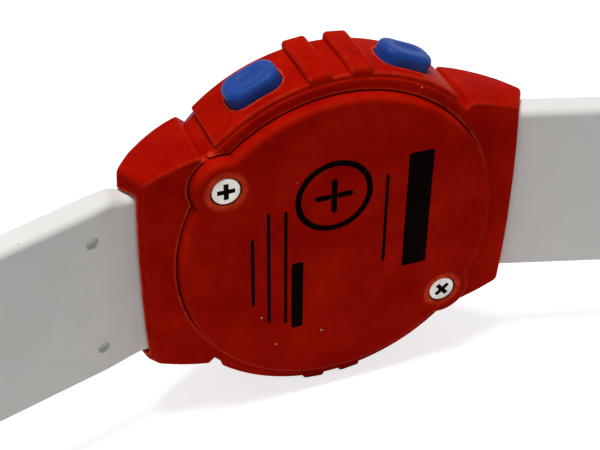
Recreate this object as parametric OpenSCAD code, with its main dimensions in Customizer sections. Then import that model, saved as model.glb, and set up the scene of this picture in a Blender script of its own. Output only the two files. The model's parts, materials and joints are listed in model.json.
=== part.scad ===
// Child's digital wrist watch with a round plastic case, two side pushers and an open two-piece strap.
// Lengths are in millimetres. Every piece is drawn on a plan that lies on the case back: depth runs from
// the back's outer face towards the dial, +X runs towards 12 o'clock and clock angles are seen from the dial.
// The finished watch stands on its 9 o'clock side, leaning on the ends of its strap.

/* [Case] */
// Radius of the case wall in the notches beside the lugs
case_r = 17.4; // [16.8:0.1:19]
// Width of the sloping edge between the wall and the back
rim_bevel = 0.35; // [0.1:0.05:0.5]
// Depth of the case's back rim below the case back's outer face
rim_drop = 1.3; // [1:0.05:1.6]
// Height of the sloping shoulder between the wall and the bezel
shoulder_h = 1.8; // [1:0.1:2.4]
// Radius of the case at the bezel
shoulder_r = 16.3; // [16:0.1:16.6]
// Radius of the raised pads that carry the pushers and ribs
land_r = 17.95; // [17.6:0.05:18.2]
// Half of the clock angle that a raised pad covers
land_half_angle = 41.5; // [38:0.5:43]
// Height of the raised pads over the top of the case wall
land_rise = 0.45; // [0.3:0.05:0.55]
// Radius of the ribs over the pads
rib_r = 18.6; // [18.3:0.05:19]
// Width of a rib
rib_w = 2.4; // [1.8:0.1:2.6]
// Clock angle between a rib and the middle of its pad
rib_angle = 6.4; // [5.6:0.1:8]
// Slope of the moulded walls on both sides of the parting line, measured as an inset
draft = 0.35; // [0.1:0.05:0.5]
// Depth of the parting line around the outside
parting_z = 4.1; // [3.3:0.1:4.9]

/* [Lugs] */
// Distance from the middle of the case to the end of a lug at the parting line
lug_reach = 20.65; // [20.4:0.05:20.9]
// Slope of a lug's end, measured as an inset at its back face
lug_slope = 1.7; // [1.3:0.05:1.9]
// Bulge of a lug's side at its middle
lug_belly = 0.15; // [0:0.05:0.4]
// Set-back of a lug's end from its middle to its corners
lug_bow = 0.4; // [0.2:0.05:0.6]
// Size of the cut corners at a lug's end
lug_corner = 0.3; // [0.2:0.05:0.5]
// Step down from the rim to the lugs' back face
lug_drop = 0.1; // [0.05:0.05:0.3]
// Wall of a lug beside the strap, at the lug's end
lug_wall = 1.2; // [1:0.05:1.6]
// Widening of a lug on each side, from its end to the case
lug_flare = 1.55; // [1:0.05:2]
// Distance from the middle of the case to the root of a lug's side
lug_root_x = 13.4; // [13:0.1:14]
// Depth of the lugs' dial side where it leaves the case
lug_top = 8.8; // [8.4:0.1:9]
// Depth of the lugs' dial side at the lug's end
lug_end_top = 4.9; // [4.6:0.1:5.2]
// Inset of a lug's end at its dial side
lug_end_in = 0.45; // [0.2:0.05:0.6]
// Rise of the lugs' dial side over a straight slope, halfway along
lug_crown = 0.4; // [0.1:0.05:0.5]

/* [Case back] */
// Radius of the case back
back_r = 16; // [15.4:0.1:16.2]
// Thickness of the case back
back_t = 1.9; // [1.7:0.05:2.1]
// Width of the sloping edge of the case back
back_bevel = 0.6; // [0.3:0.05:0.7]
// Gap around the case back
back_gap = 0.3; // [0.2:0.05:0.4]
// Radius of the ears around the case screws
ear_r = 3.1; // [2.8:0.1:3.2]
// Distance of the case screws from the middle
case_screw_pitch_r = 14.5; // [14.3:0.1:14.7]
// Clock angle of the first case screw, the second is opposite
case_screw_angle = 142; // [138:0.5:146]
// Radius of a case screw's head
case_screw_head_r = 1.4; // [1.2:0.05:1.5]
// Thickness of a case screw's head
case_screw_head_t = 0.8; // [0.6:0.05:0.9]
// Radius of a case screw's shank
case_screw_r = 0.7; // [0.55:0.05:0.75]
// Length of a case screw under its head
case_screw_len = 4; // [3:0.1:5]
// Depth of the case screws' heads under the case back's face
head_sink = 0.12; // [0.05:0.01:0.2]
// Radius of the shallow dish around a case screw
screw_dish_r = 2; // [1.8:0.05:2.1]
// Width of the cross slot in a case screw
cross_w = 0.46; // [0.36:0.02:0.5]
// Length of the cross slot in a case screw
cross_len = 1.7; // [1.4:0.1:2]
// Depth of the cross slot in a case screw
cross_depth = 0.55; // [0.3:0.05:0.6]
// Depth of the pocket inside the case back, filled by the foam pad
pad_t = 0.7; // [0.5:0.05:0.8]
// Radius of the foam pad that presses on the battery clip
pad_r = 5; // [4:0.1:5.6]

/* [Front] */
// Radius of the window in the case front
window_r = 11.4; // [10.6:0.1:11.8]
// Thickness of the case front
front_t = 0.8; // [0.6:0.05:1.1]
// Radius of the lens
lens_r = 13.3; // [12.8:0.1:13.6]
// Thickness of the lens
lens_t = 1.1; // [0.8:0.05:1.4]
// Height of the bezel's seat over the lens's seat
seat_rise = 0.2; // [0.1:0.05:0.4]
// Outer radius of the bezel
bezel_r = 16.2; // [15.8:0.05:16.3]
// Inner radius of the bezel's lip over the lens
bezel_lip_r = 12.4; // [12:0.1:12.6]
// Thickness of the bezel's lip
bezel_lip_t = 0.5; // [0.4:0.05:0.8]
// Size of the sloping inner edge of the bezel's lip
lip_bevel = 0.25; // [0.1:0.05:0.35]
// Width of the bezel's sloping outer edge
bezel_bevel = 0.9; // [0.5:0.05:1]
// Middle radius of the ring that locates the bezel in the case
spigot_r = 14.75; // [14.6:0.05:14.9]
// Thickness of the ring that locates the bezel in the case
spigot_t = 0.9; // [0.6:0.05:1]
// Height of the ring that locates the bezel in the case
spigot_h = 0.7; // [0.5:0.05:0.8]

/* [Module] */
// Radius of the round chamber for the module
chamber_r = 13; // [12.9:0.05:13.2]
// Thickness of the battery clip
clip_t = 0.25; // [0.2:0.05:0.3]
// Distance of the battery clip's round edge inside the battery's edge
clip_inset = 0.8; // [0.5:0.1:1.5]
// Width of the battery clip's arms
clip_arm_w = 2; // [1.4:0.1:2.4]
// Width of metal around a module screw's head
clip_pad = 0.5; // [0.3:0.05:0.6]
// Diameter of the battery
battery_d = 11.6; // [10:0.1:11.8]
// Thickness of the battery
battery_t = 3.05; // [2.8:0.05:3.2]
// Height of the battery's smaller pole
pole_h = 0.4; // [0.2:0.05:0.6]
// Width of the step around the battery's smaller pole
pole_step = 1.2; // [0.6:0.1:1.6]
// Distance of the battery from the middle, towards 6 o'clock
battery_x = 3.4; // [3:0.1:3.8]
// Thickness of the battery's lower contact
contact_t = 0.1; // [0.08:0.01:0.15]
// Width of the battery's lower contact
contact_w = 2; // [1.4:0.1:2.6]
// Distance of the lower contact's ends inside the battery's edge
contact_inset = 2; // [1.4:0.1:3]
// Thickness of the circuit board
board_t = 0.7; // [0.6:0.05:0.8]
// Height of the rubber connector strips
zebra_h = 1.1; // [0.9:0.05:1.3]
// Width of a rubber connector strip
zebra_w = 1.2; // [0.9:0.05:1.4]
// Thickness of the display glass
lcd_t = 1.4; // [1.2:0.05:1.6]
// Height of the display glass, from 6 to 12 o'clock
lcd_h = 11.6; // [10.6:0.1:12]
// Width of the display glass, from 9 to 3 o'clock
lcd_w = 17.2; // [16:0.1:17.6]
// Thickness of the printed dial mask
mask_t = 0.2; // [0.1:0.05:0.3]
// Height of the mask's window
mask_h = 7.6; // [6.6:0.1:8]
// Width of the mask's window
mask_w = 14; // [12.6:0.1:14.4]
// Radius of the epoxy dome over the chip
blob_r = 2; // [1.6:0.1:2.2]
// Height of the epoxy dome over the chip
blob_h = 0.9; // [0.6:0.05:1.2]
// Radius of the quartz crystal's can
crystal_r = 0.9; // [0.7:0.05:1]
// Length of the quartz crystal's can
crystal_len = 5; // [4.4:0.1:5.4]
// Wall between the battery's room and the component bay
bay_wall = 1; // [0.6:0.1:1.2]
// Gap around the components in their bay
bay_gap = 0.5; // [0.3:0.05:0.6]
// Distance of the module screws from the middle
module_screw_pitch_r = 10.4; // [10.3:0.05:10.6]
// Radius of a module screw
module_screw_r = 0.5; // [0.4:0.05:0.55]
// Radius of a module screw's head
module_screw_head_r = 0.95; // [0.8:0.05:1.05]
// Depth to which a module screw enters the display holder
module_screw_grip = 1.6; // [1:0.1:2]

/* [Pushers] */
// Clock angle between a pusher and 3 o'clock
pusher_angle = 24; // [22:0.5:26]
// Length of a pusher's cap along the wall
cap_len = 5.35; // [4.8:0.05:5.8]
// Width of a pusher's cap across the wall
cap_w = 3.7; // [3:0.1:4]
// Radius of the corners of a pusher's cap
cap_corner = 1.5; // [1:0.05:1.5]
// Depth of the pushers' axes
pusher_z = 4.6; // [4.3:0.05:4.7]
// Height of a pusher's cap over its pad
cap_proud = 1.2; // [1:0.05:1.5]
// Size of the sloping edge of a pusher's cap
cap_bevel = 0.4; // [0.2:0.05:0.5]
// Depth of the dish in a pusher's cap
cap_dish = 0.25; // [0.1:0.05:0.3]
// Length of a cap inside its pocket at rest
cap_seat = 0.6; // [0.4:0.05:0.8]
// Travel of a pusher
pusher_travel = 0.8; // [0.6:0.05:0.9]
// Radius of a pusher's stem
stem_r = 0.9; // [0.7:0.05:0.95]
// Radius of the groove for a pusher's retaining clip
clip_groove_r = 0.55; // [0.45:0.05:0.6]
// Radius of a pusher's retaining clip
stem_clip_r = 1.7; // [1.5:0.05:1.9]
// Thickness of a pusher's retaining clip
stem_clip_t = 0.3; // [0.2:0.05:0.35]
// Width of the mouth in a pusher's retaining clip
stem_clip_mouth = 0.85; // [0.7:0.05:0.95]
// Length of a stem past its retaining clip
stem_end = 0.5; // [0.4:0.05:0.6]
// Thickness of a contact leaf
leaf_t = 0.15; // [0.1:0.01:0.2]
// Width of a contact leaf
leaf_w = 2.6; // [2:0.1:3]

/* [Strap] */
// Width of the strap
strap_w = 19.3; // [18.6:0.1:19.6]
// Thickness of the strap
strap_t = 2.9; // [2.6:0.1:3]
// Distance of the spring bars from the middle of the case
bar_x = 17.3; // [17.2:0.05:17.5]
// Depth of the spring bars
bar_z = 4.2; // [4.15:0.05:4.3]
// Radius of a spring bar
bar_r = 0.65; // [0.5:0.05:0.7]
// Radius of a spring bar's tips
bar_tip_r = 0.4; // [0.3:0.05:0.45]
// Length of a spring bar's tip in its hole
bar_tip_len = 0.7; // [0.5:0.05:0.75]
// Radius of the strap's rolled end around a spring bar
roll_r = 1.7; // [1.65:0.05:1.8]
// Angle at which the long half leaves the case, towards the wrist
long_angle = 18.5; // [16:0.5:20]
// Angle at which the short half leaves the case, towards the wrist
short_angle = 17; // [14:0.5:18]
// Angle by which a strap half can close further
strap_close = 0.5; // [0.5:0.5:2.5]
// Angle by which a strap half can open, past flat
strap_open = 25; // [18:0.5:30]
// Length of the straight first run of the long half
long_run = 20; // [18:0.5:24]
// Width of the long half at its spring bar
long_w = 18.7; // [18:0.1:19.2]
// Narrowing of the long half on each side along its straight first run
long_taper = 0.35; // [0.1:0.05:0.6]
// Length of the straight first run of the short half
short_run = 17; // [15:0.5:22]
// Radius of the strap's bend, at its middle
bend_r = 19; // [16:0.5:24]
// Length of the long half after the bend
long_tail = 55.5; // [50:0.5:60]
// Radius of the long half's rounded tip, less half its width there
tip_flat = 1.75; // [0.3:0.05:4]
// Length of the short half after the bend, up to the buckle bar
short_tail = 18; // [17:0.5:24]
// Number of buckle holes
hole_count = 8; // [5:1:8]
// Radius of a buckle hole
hole_r = 1.1; // [0.9:0.05:1.3]
// Distance between buckle holes
hole_pitch = 4.6; // [4:0.1:4.6]
// Distance from the strap's tip to the first buckle hole
hole_start = 9; // [8:0.5:12]
// Radius of the blind dimples inside the long half
dimple_r = 0.65; // [0.5:0.05:0.8]
// Depth of the blind dimples
dimple_depth = 0.5; // [0.3:0.05:0.7]
// Distance of the dimples from the strap's middle line
dimple_half = 6.1; // [5:0.05:7]
// Distance of the dimples from the spring bar
dimple_run = 7.2; // [6:0.1:9]

/* [Buckle] */
// Distance from the buckle bar to the front bar
buckle_len = 9.6; // [9:0.1:12]
// Width of the buckle's side and front bars
buckle_bar_w = 2; // [1.6:0.1:2.4]
// Thickness of the buckle
buckle_t = 2.2; // [2:0.1:2.6]
// Radius of the buckle bar
buckle_pin_r = 0.65; // [0.5:0.05:0.75]
// Width of the tongue
tongue_w = 2; // [1.6:0.1:2.2]
// Thickness of the tongue
tongue_t = 1; // [0.8:0.05:1.2]
// Wall of the tongue's roll around the buckle bar
tongue_roll_t = 0.7; // [0.5:0.05:0.75]
// Width of the notch for the tongue in the strap
tongue_notch = 3.4; // [3:0.1:4]
// Width of the keeper along the strap
keeper_len = 5; // [4:0.1:6]
// Wall of the keeper
keeper_t = 1.3; // [1:0.1:1.6]
// Travel of the keeper each way along the strap, and its distance from the buckle
keeper_travel = 3; // [2:0.5:3.5]

/* [Fits] */
// Radial clearance of pins, stems and bars that turn or slide in their holes
run_fit = 0.05; // [0.03:0.01:0.08]
// Clearance around pieces that are laid in a pocket
lay_fit = 0.1; // [0.06:0.01:0.15]
// Clearance around pieces that move in an open pocket
free_fit = 0.2; // [0.12:0.01:0.25]
// Clearance between soft pieces that slide on each other
slip_fit = 0.3; // [0.2:0.05:0.4]

/* [Hidden] */
$fn = 64;
eps = 0.01;
over = 1;

// Depths of the stack, from the case back to the bezel
clip_z = back_t;
battery_z = clip_z + clip_t;
contact_z = battery_z + battery_t;
board_z = contact_z + contact_t;
zebra_z = board_z + board_t;
lcd_z = zebra_z + zebra_h;
mask_z = lcd_z + lcd_t;
front_z = mask_z + mask_t;
lens_z = front_z + front_t;
lens_top = lens_z + lens_t;
seat_z = lens_z + seat_rise;
bezel_top = lens_top + bezel_lip_t;
wall_top = seat_z - shoulder_h;

// Round parts of the module
module_r = chamber_r - lay_fit;
battery_r = battery_d / 2;
module_screw_angles = [90, 215, 325];
module_screw_end = zebra_z + module_screw_grip;
case_screw_angles = [case_screw_angle, case_screw_angle + 180];
head_bed_r = case_screw_head_r + free_fit;
head_bed_z = head_sink + case_screw_head_t;
case_screw_end = head_bed_z + case_screw_len;
pusher_angles = [90 - pusher_angle, 90 + pusher_angle];
zebra_x = lcd_h / 2 - zebra_w / 2;
bay_x0 = battery_r - battery_x + lay_fit + bay_wall;
bay_len = 2 * blob_r + 2 * crystal_r + 3 * bay_gap;
bay_half = crystal_len / 2 + bay_gap;
blob_x = bay_x0 + bay_gap + blob_r;
crystal_x = blob_x + blob_r + bay_gap + crystal_r;

// Radial places along a pusher's axis
cap_top_r = land_r + cap_proud;
cap_base_r = land_r - cap_seat;
pocket_floor_r = cap_base_r - pusher_travel - lay_fit;
clip_face_r = chamber_r + lay_fit;
stem_clip_outer = clip_face_r - run_fit;
stem_clip_inner = stem_clip_outer - stem_clip_t;
stem_tip_r = stem_clip_inner - stem_end;
leaf_r = stem_tip_r - leaf_t;
leaf_room_r = leaf_r - pusher_travel - lay_fit;
stem_room = stem_clip_r + free_fit;

// Strap halves: where the bend starts, and its middle
strap_half = strap_w / 2;
slot_half = strap_half + free_fit;
long_root_half = long_w / 2;
long_half = long_root_half - long_taper;
tip_r = long_half + tip_flat;
bend_steps = 24;
lug_tip_half = slot_half + lug_wall;
lug_root_half = lug_tip_half + lug_flare;
lug_mid_x = (lug_root_x + lug_reach) / 2;
lug_mid_half = (lug_root_half + lug_tip_half) / 2 + lug_belly;
lug_mid_top = (lug_top + lug_end_top) / 2 + lug_crown;
mouth_half = strap_t / 2 + free_fit;
mouth_len = lug_reach - bar_x + 2 * over;
function run_end(run, angle) = [bar_x + run * cos(angle), bar_z - run * sin(angle)];
function bend_middle(run, angle) = run_end(run, angle) + bend_r * [-sin(angle), -cos(angle)];
long_run_x = run_end(long_run, long_angle)[0];
long_middle = bend_middle(long_run, long_angle);
long_tail_x = long_middle[0] + bend_r;
long_tip_z = long_middle[1] - long_tail;
short_middle = bend_middle(short_run, short_angle);
short_tail_x = short_middle[0] + bend_r;
pin_z = short_middle[1] - short_tail;

// Buckle, keeper and tongue
buckle_inner_half = strap_half + slip_fit;
buckle_outer_half = buckle_inner_half + buckle_bar_w;
tongue_roll_r = buckle_pin_r + run_fit + tongue_roll_t;
tongue_rise = buckle_t / 2 + run_fit;
tongue_x = short_tail_x + tongue_rise;
keeper_in_x = short_tail_x - strap_t / 2 - slip_fit;
keeper_room = 2 * strap_t + 2 * slip_fit;
buckle_swing = buckle_t / sqrt(2);
keeper_z = pin_z + buckle_swing + slip_fit + keeper_travel + keeper_len / 2;
buckle_end_z = pin_z - buckle_len - buckle_bar_w / 2;

// The stance: ribs, buckle and the edge of the long half stand on one plane
rest_r = rib_r - draft;
long_edge_z = long_tip_z + tip_r - sqrt(tip_r * tip_r - long_half * long_half);
strap_fall = (rest_r - long_half) / (rim_drop - long_edge_z);
buckle_fall = (rest_r - buckle_outer_half) / (rim_drop - buckle_end_z);
lean = atan(min(strap_fall, buckle_fall));

// Stands the plan on the watch's 9 o'clock side
module stand() rotate([lean - 90, 0, 0]) children();

// Turns children by a clock angle seen from the dial, where 0 is 12 o'clock
module clock(angle) rotate([0, 0, -angle]) children();

// A ring about the middle of the case
module ring(inner, outer, low, high) {
    translate([0, 0, low]) difference() {
        cylinder(r = outer, h = high - low);
        translate([0, 0, -over]) cylinder(r = inner, h = high - low + 2 * over);
    }
}

// A straight round hole or pin about the middle of the case
module rod(r, low, high) translate([0, 0, low]) cylinder(r = r, h = high - low);

// Places children on a pusher's axis, with +Z pointing out of the case
module on_pusher(angle) clock(angle) translate([0, 0, pusher_z]) rotate([0, 90, 0]) children();

// Extrudes an outline drawn on X and depth across the strap
module across(width) rotate([90, 0, 0]) linear_extrude(width, center = true) children();

// Places children at each case screw
module at_case_screws() {
    for (angle = case_screw_angles) clock(angle) translate([case_screw_pitch_r, 0, 0]) children();
}

// A pusher cap's outline, long side along the wall
module cap_outline(grow) {
    len = cap_len / 2 - cap_corner;
    wide = cap_w / 2 - cap_corner;
    square([2 * wide, 2 * (len + cap_corner + grow)], center = true);
    square([2 * (wide + cap_corner + grow), 2 * len], center = true);
    for (x = [-wide, wide], y = [-len, len]) {
        translate([x, y]) circle(r = cap_corner + grow);
    }
}

// One side of a lug as a flat outline, with its side and its end drawn in
function lug_half(inset, end_inset) = [
    [lug_root_x / 2, lug_root_half / 2],
    [lug_root_x, lug_root_half - inset],
    [lug_mid_x, lug_mid_half - inset],
    [lug_reach - lug_bow - lug_corner - end_inset, lug_tip_half - inset],
    [lug_reach - lug_bow - end_inset, lug_tip_half - lug_corner - inset],
    [lug_reach - end_inset, lug_tip_half / 2]
];

module lug_slice(inset, end_inset, low) {
    half = lug_half(inset, end_inset);
    other = [for (i = [len(half) - 1 : -1 : 0]) [half[i][0], -half[i][1]]];
    translate([0, 0, low]) linear_extrude(eps) polygon(concat(half, other));
}

// A lug, widest at the parting line and sloping down from the dial side
module lug() {
    hull() {
        lug_slice(draft, lug_slope, rim_drop + lug_drop);
        lug_slice(0, 0, parting_z);
        lug_slice(draft / 4, lug_end_in, lug_end_top - eps);
        translate([lug_root_x / 2, draft / 2 - lug_mid_half, lug_mid_top - eps])
            cube([lug_mid_x - lug_root_x / 2, 2 * lug_mid_half - draft, eps]);
        translate([lug_root_x / 2, draft - lug_root_half, lug_top - eps])
            cube([lug_root_x / 2, 2 * (lug_root_half - draft), eps]);
    }
}

// The raised pad and its two ribs on one side of the case
module wall_pad() {
    root = case_r - over;
    low = rim_drop + rim_bevel / 2;
    land_top = wall_top + land_rise;
    rib_top = land_top + draft / 2;
    rotate([0, 0, -land_half_angle]) rotate_extrude(angle = 2 * land_half_angle, $fn = 128) polygon([
        [root, low], [land_r - draft / 2, low], [land_r, parting_z],
        [land_r, land_top - draft], [land_r - draft, land_top], [root, land_top]
    ]);
    for (angle = [-rib_angle, rib_angle]) {
        clock(angle) across(rib_w) polygon([
            [root, low], [rest_r, low], [rib_r, parting_z],
            [rib_r, rib_top - draft], [rest_r, rib_top], [root, rib_top]
        ]);
    }
}

// The space for a strap's rolled end in a lug
module strap_slot() {
    across(2 * slot_half) translate([bar_x, bar_z]) {
        circle(r = roll_r + slip_fit);
        for (angle = [strap_open - short_angle, -long_angle - strap_close]) {
            rotate(angle) translate([0, -mouth_half]) square([mouth_len, 2 * mouth_half]);
        }
    }
    translate([bar_x, 0, bar_z]) rotate([90, 0, 0]) {
        cylinder(r = bar_tip_r + run_fit, h = 2 * (slot_half + bar_tip_len), center = true);
    }
}

module case_body() {
    color("firebrick") stand() difference() {
        union() {
            rotate_extrude($fn = 128) polygon([
                [0, rim_drop], [case_r - rim_bevel, rim_drop], [case_r, rim_drop + rim_bevel],
                [case_r, wall_top], [shoulder_r, seat_z], [0, seat_z]
            ]);
            for (turn = [0, 180]) rotate([0, 0, turn]) lug();
            for (turn = [90, 270]) rotate([0, 0, turn]) wall_pad();
        }
        rod(back_r + back_gap, rim_drop - over, back_t);
        at_case_screws() rod(ear_r + back_gap, rim_drop - over, back_t);
        rod(chamber_r, back_t - over, front_z);
        rod(window_r, front_z - over, seat_z + over);
        rod(lens_r + lay_fit, lens_z, seat_z + over);
        ring(spigot_r - spigot_t / 2 - run_fit, spigot_r + spigot_t / 2 + run_fit,
             seat_z - spigot_h - lay_fit, seat_z + over);
        at_case_screws() rod(case_screw_r + run_fit, 0, case_screw_end + lay_fit);
        for (angle = pusher_angles) {
            on_pusher(angle) {
                translate([0, 0, pocket_floor_r]) linear_extrude(rib_r) cap_outline(free_fit);
                rod(stem_r + run_fit, 0, pocket_floor_r + over);
                rod(stem_room, 0, clip_face_r);
            }
        }
        for (turn = [0, 180]) rotate([0, 0, turn]) strap_slot();
    }
}

// A round plate as thick as the case back, with its sloping edge
module back_plate(r) {
    rotate_extrude($fn = 128) polygon([
        [0, 0], [r - back_bevel, 0], [r, back_bevel], [r, back_t], [0, back_t]
    ]);
}

module case_back() {
    color("firebrick") stand() difference() {
        union() {
            back_plate(back_r);
            at_case_screws() back_plate(ear_r);
        }
        rod(module_r, back_t - pad_t, back_t + over);
        at_case_screws() {
            translate([0, 0, -eps]) cylinder(r1 = screw_dish_r, r2 = head_bed_r, h = head_sink + eps);
            rod(head_bed_r, head_sink - eps, head_bed_z);
            rod(case_screw_r + run_fit, 0, back_t + over);
        }
    }
}

module case_screws() {
    color("silver") stand() at_case_screws() difference() {
        union() {
            rod(case_screw_head_r, head_sink, head_bed_z);
            rod(case_screw_r, head_bed_z - eps, case_screw_end);
        }
        for (turn = [0, 90]) {
            rotate([0, 0, turn]) translate([-cross_len / 2, -cross_w / 2, head_sink - over])
                cube([cross_len, cross_w, cross_depth + over]);
        }
    }
}

module foam_pad() {
    color("dimgray") stand() translate([-battery_x, 0, 0]) rod(pad_r, back_t - pad_t, back_t);
}

// Places children at each module screw
module at_module_screws() {
    for (angle = module_screw_angles) clock(angle) translate([module_screw_pitch_r, 0, 0]) children();
}

// The room for the contact leaves and stems beside the pushers
module leaf_rooms(low, high) {
    for (angle = pusher_angles) {
        clock(angle) translate([leaf_room_r, -stem_room, low])
            cube([module_r - leaf_room_r + over, 2 * stem_room, high - low]);
    }
}

module battery_clip() {
    color("gold") stand() difference() {
        union() {
            translate([-battery_x, 0, 0]) rod(battery_r - clip_inset, clip_z, clip_z + clip_t);
            at_module_screws() rod(module_screw_head_r + clip_pad, clip_z, clip_z + clip_t);
            for (angle = module_screw_angles) {
                clock(angle) translate([0, -clip_arm_w / 2, clip_z])
                    cube([module_screw_pitch_r, clip_arm_w, clip_t]);
            }
            for (angle = pusher_angles) {
                clock(angle) translate([0, -leaf_w / 2, clip_z]) cube([leaf_r + leaf_t, leaf_w, clip_t]);
            }
        }
        at_module_screws() rod(module_screw_r + lay_fit, clip_z - over, clip_z + clip_t + over);
    }
}

module battery() {
    color("lightgray") stand() translate([-battery_x, 0, 0]) {
        rod(battery_r, battery_z, contact_z - pole_h);
        rod(battery_r - pole_step, contact_z - pole_h - eps, contact_z);
    }
}

module battery_contact() {
    color("gold") stand() translate([contact_inset - battery_x - battery_r, -contact_w / 2, contact_z])
        cube([battery_d - 2 * contact_inset, contact_w, contact_t]);
}

module spacer_ring() {
    color("white") stand() difference() {
        rod(module_r, battery_z, board_z);
        translate([-battery_x, 0, 0]) rod(battery_r + lay_fit, battery_z - over, board_z + over);
        translate([bay_x0, -bay_half, battery_z - over])
            cube([bay_len, 2 * bay_half, board_z - battery_z + 2 * over]);
        at_module_screws() rod(module_screw_r + lay_fit, battery_z - over, board_z + over);
        leaf_rooms(battery_z - over, board_z + over);
    }
}

module circuit_board() {
    color("darkgreen") stand() difference() {
        rod(module_r - lay_fit, board_z, zebra_z);
        at_module_screws() rod(module_screw_r + lay_fit, board_z - over, zebra_z + over);
        leaf_rooms(board_z - over, zebra_z + over);
    }
}

module chip_blob() {
    dome_r = (blob_r * blob_r + blob_h * blob_h) / (2 * blob_h);
    color("black") stand() intersection() {
        translate([blob_x, 0, board_z - blob_h + dome_r]) sphere(r = dome_r);
        translate([blob_x, 0, 0]) rod(blob_r, board_z - blob_h - over, board_z);
    }
}

module crystal_can() {
    color("silver") stand() translate([crystal_x, 0, board_z - crystal_r]) rotate([90, 0, 0])
        cylinder(r = crystal_r, h = crystal_len, center = true);
}

module module_screws() {
    color("silver") stand() at_module_screws() {
        rod(module_screw_head_r, clip_z - pad_t + lay_fit, clip_z);
        rod(module_screw_r, clip_z - eps, module_screw_end);
    }
}

module lcd_holder() {
    color("white") stand() difference() {
        rod(module_r, zebra_z, mask_z);
        translate([-lcd_h / 2 - lay_fit, -lcd_w / 2 - lay_fit, zebra_z - over])
            cube([lcd_h + 2 * lay_fit, lcd_w + 2 * lay_fit, mask_z - zebra_z + 2 * over]);
        at_module_screws() rod(module_screw_r + run_fit, zebra_z - over, module_screw_end + lay_fit);
        leaf_rooms(zebra_z - over, pusher_z + stem_room);
    }
}

module zebra_strips() {
    color("gray") stand() for (x = [-zebra_x, zebra_x]) {
        translate([x - zebra_w / 2, -lcd_w / 2, zebra_z]) cube([zebra_w, lcd_w, zebra_h]);
    }
}

module lcd_panel() {
    color("darkseagreen") stand() translate([-lcd_h / 2, -lcd_w / 2, lcd_z]) cube([lcd_h, lcd_w, lcd_t]);
}

module dial_mask() {
    color("royalblue") stand() difference() {
        rod(module_r - lay_fit, mask_z, front_z);
        translate([-mask_h / 2, -mask_w / 2, mask_z - over]) cube([mask_h, mask_w, mask_t + 2 * over]);
    }
}

module lens() {
    color([0.8, 0.9, 1, 0.4]) stand() rod(lens_r, lens_z, lens_top);
}

module front_bezel() {
    color("royalblue") stand() {
        rotate_extrude($fn = 128) polygon([
            [bezel_lip_r, lens_top], [bezel_lip_r, bezel_top - lip_bevel],
            [bezel_lip_r + lip_bevel, bezel_top], [bezel_r - bezel_bevel, bezel_top],
            [bezel_r, bezel_top - bezel_bevel], [bezel_r, seat_z],
            [lens_r + lay_fit, seat_z], [lens_r + lay_fit, lens_top]
        ]);
        ring(spigot_r - spigot_t / 2, spigot_r + spigot_t / 2, seat_z - spigot_h, seat_z + eps);
    }
}

// A pusher: a dished cap on a stem with a clip groove
module pusher(angle) {
    dish_r = (cap_w * cap_w / 4 + cap_dish * cap_dish) / (2 * cap_dish);
    color("royalblue") stand() on_pusher(angle) difference() {
        union() {
            translate([0, 0, cap_base_r]) linear_extrude(cap_seat + cap_proud - cap_bevel) cap_outline(0);
            hull() {
                translate([0, 0, cap_top_r - cap_bevel - eps]) linear_extrude(eps) cap_outline(0);
                translate([0, 0, cap_top_r - eps]) linear_extrude(eps) cap_outline(-cap_bevel);
            }
            rod(stem_r, stem_clip_outer, cap_base_r + eps);
            rod(clip_groove_r, stem_clip_inner - eps, stem_clip_outer + eps);
            rod(stem_r, stem_tip_r, stem_clip_inner);
        }
        translate([0, 0, cap_top_r - cap_dish + dish_r]) rotate([90, 0, 0])
            cylinder(r = dish_r, h = cap_len - 2 * cap_corner, center = true);
    }
}

// The spring clip that keeps a pusher in the case
module pusher_clip(angle) {
    color("silver") stand() on_pusher(angle) difference() {
        rod(stem_clip_r, stem_clip_inner, stem_clip_outer);
        rod(clip_groove_r + run_fit, stem_clip_inner - over, stem_clip_outer + over);
        translate([0, -stem_clip_mouth / 2, stem_clip_inner - over])
            cube([stem_clip_r + over, stem_clip_mouth, stem_clip_t + 2 * over]);
    }
}

// The spring leaf behind a pusher, bent down from the battery clip
module contact_leaf(angle) {
    color("gold") stand() clock(angle) translate([leaf_r, -leaf_w / 2, clip_z + clip_t])
        cube([leaf_t - run_fit, leaf_w, pusher_z + stem_r - clip_z - clip_t]);
}

module pusher_2() pusher(pusher_angles[0]);
module pusher_4() pusher(pusher_angles[1]);
module pusher_clip_2() pusher_clip(pusher_angles[0]);
module pusher_clip_4() pusher_clip(pusher_angles[1]);
module contact_leaf_2() contact_leaf(pusher_angles[0]);
module contact_leaf_4() contact_leaf(pusher_angles[1]);

// A spring bar with its two tips
module spring_bar(turn) {
    color("silver") stand() rotate([0, 0, turn]) translate([bar_x, 0, bar_z]) rotate([90, 0, 0]) {
        cylinder(r = bar_r, h = 2 * slot_half - 2 * lay_fit, center = true);
        cylinder(r = bar_tip_r, h = 2 * (slot_half + bar_tip_len - lay_fit), center = true);
    }
}

module spring_bar_12() spring_bar(0);
module spring_bar_6() spring_bar(180);

// Points along the strap's bend, from one angle to another
function bend_points(middle, r, from, to) = [
    for (i = [0 : bend_steps]) let (angle = from + (to - from) * i / bend_steps)
        middle + r * [cos(angle), sin(angle)]
];

// The round end of a strap about a spring bar or buckle bar
module strap_roll(x, z) {
    translate([x, 0, z]) rotate([90, 0, 0]) cylinder(r = roll_r, h = strap_w, center = true);
}

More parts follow.
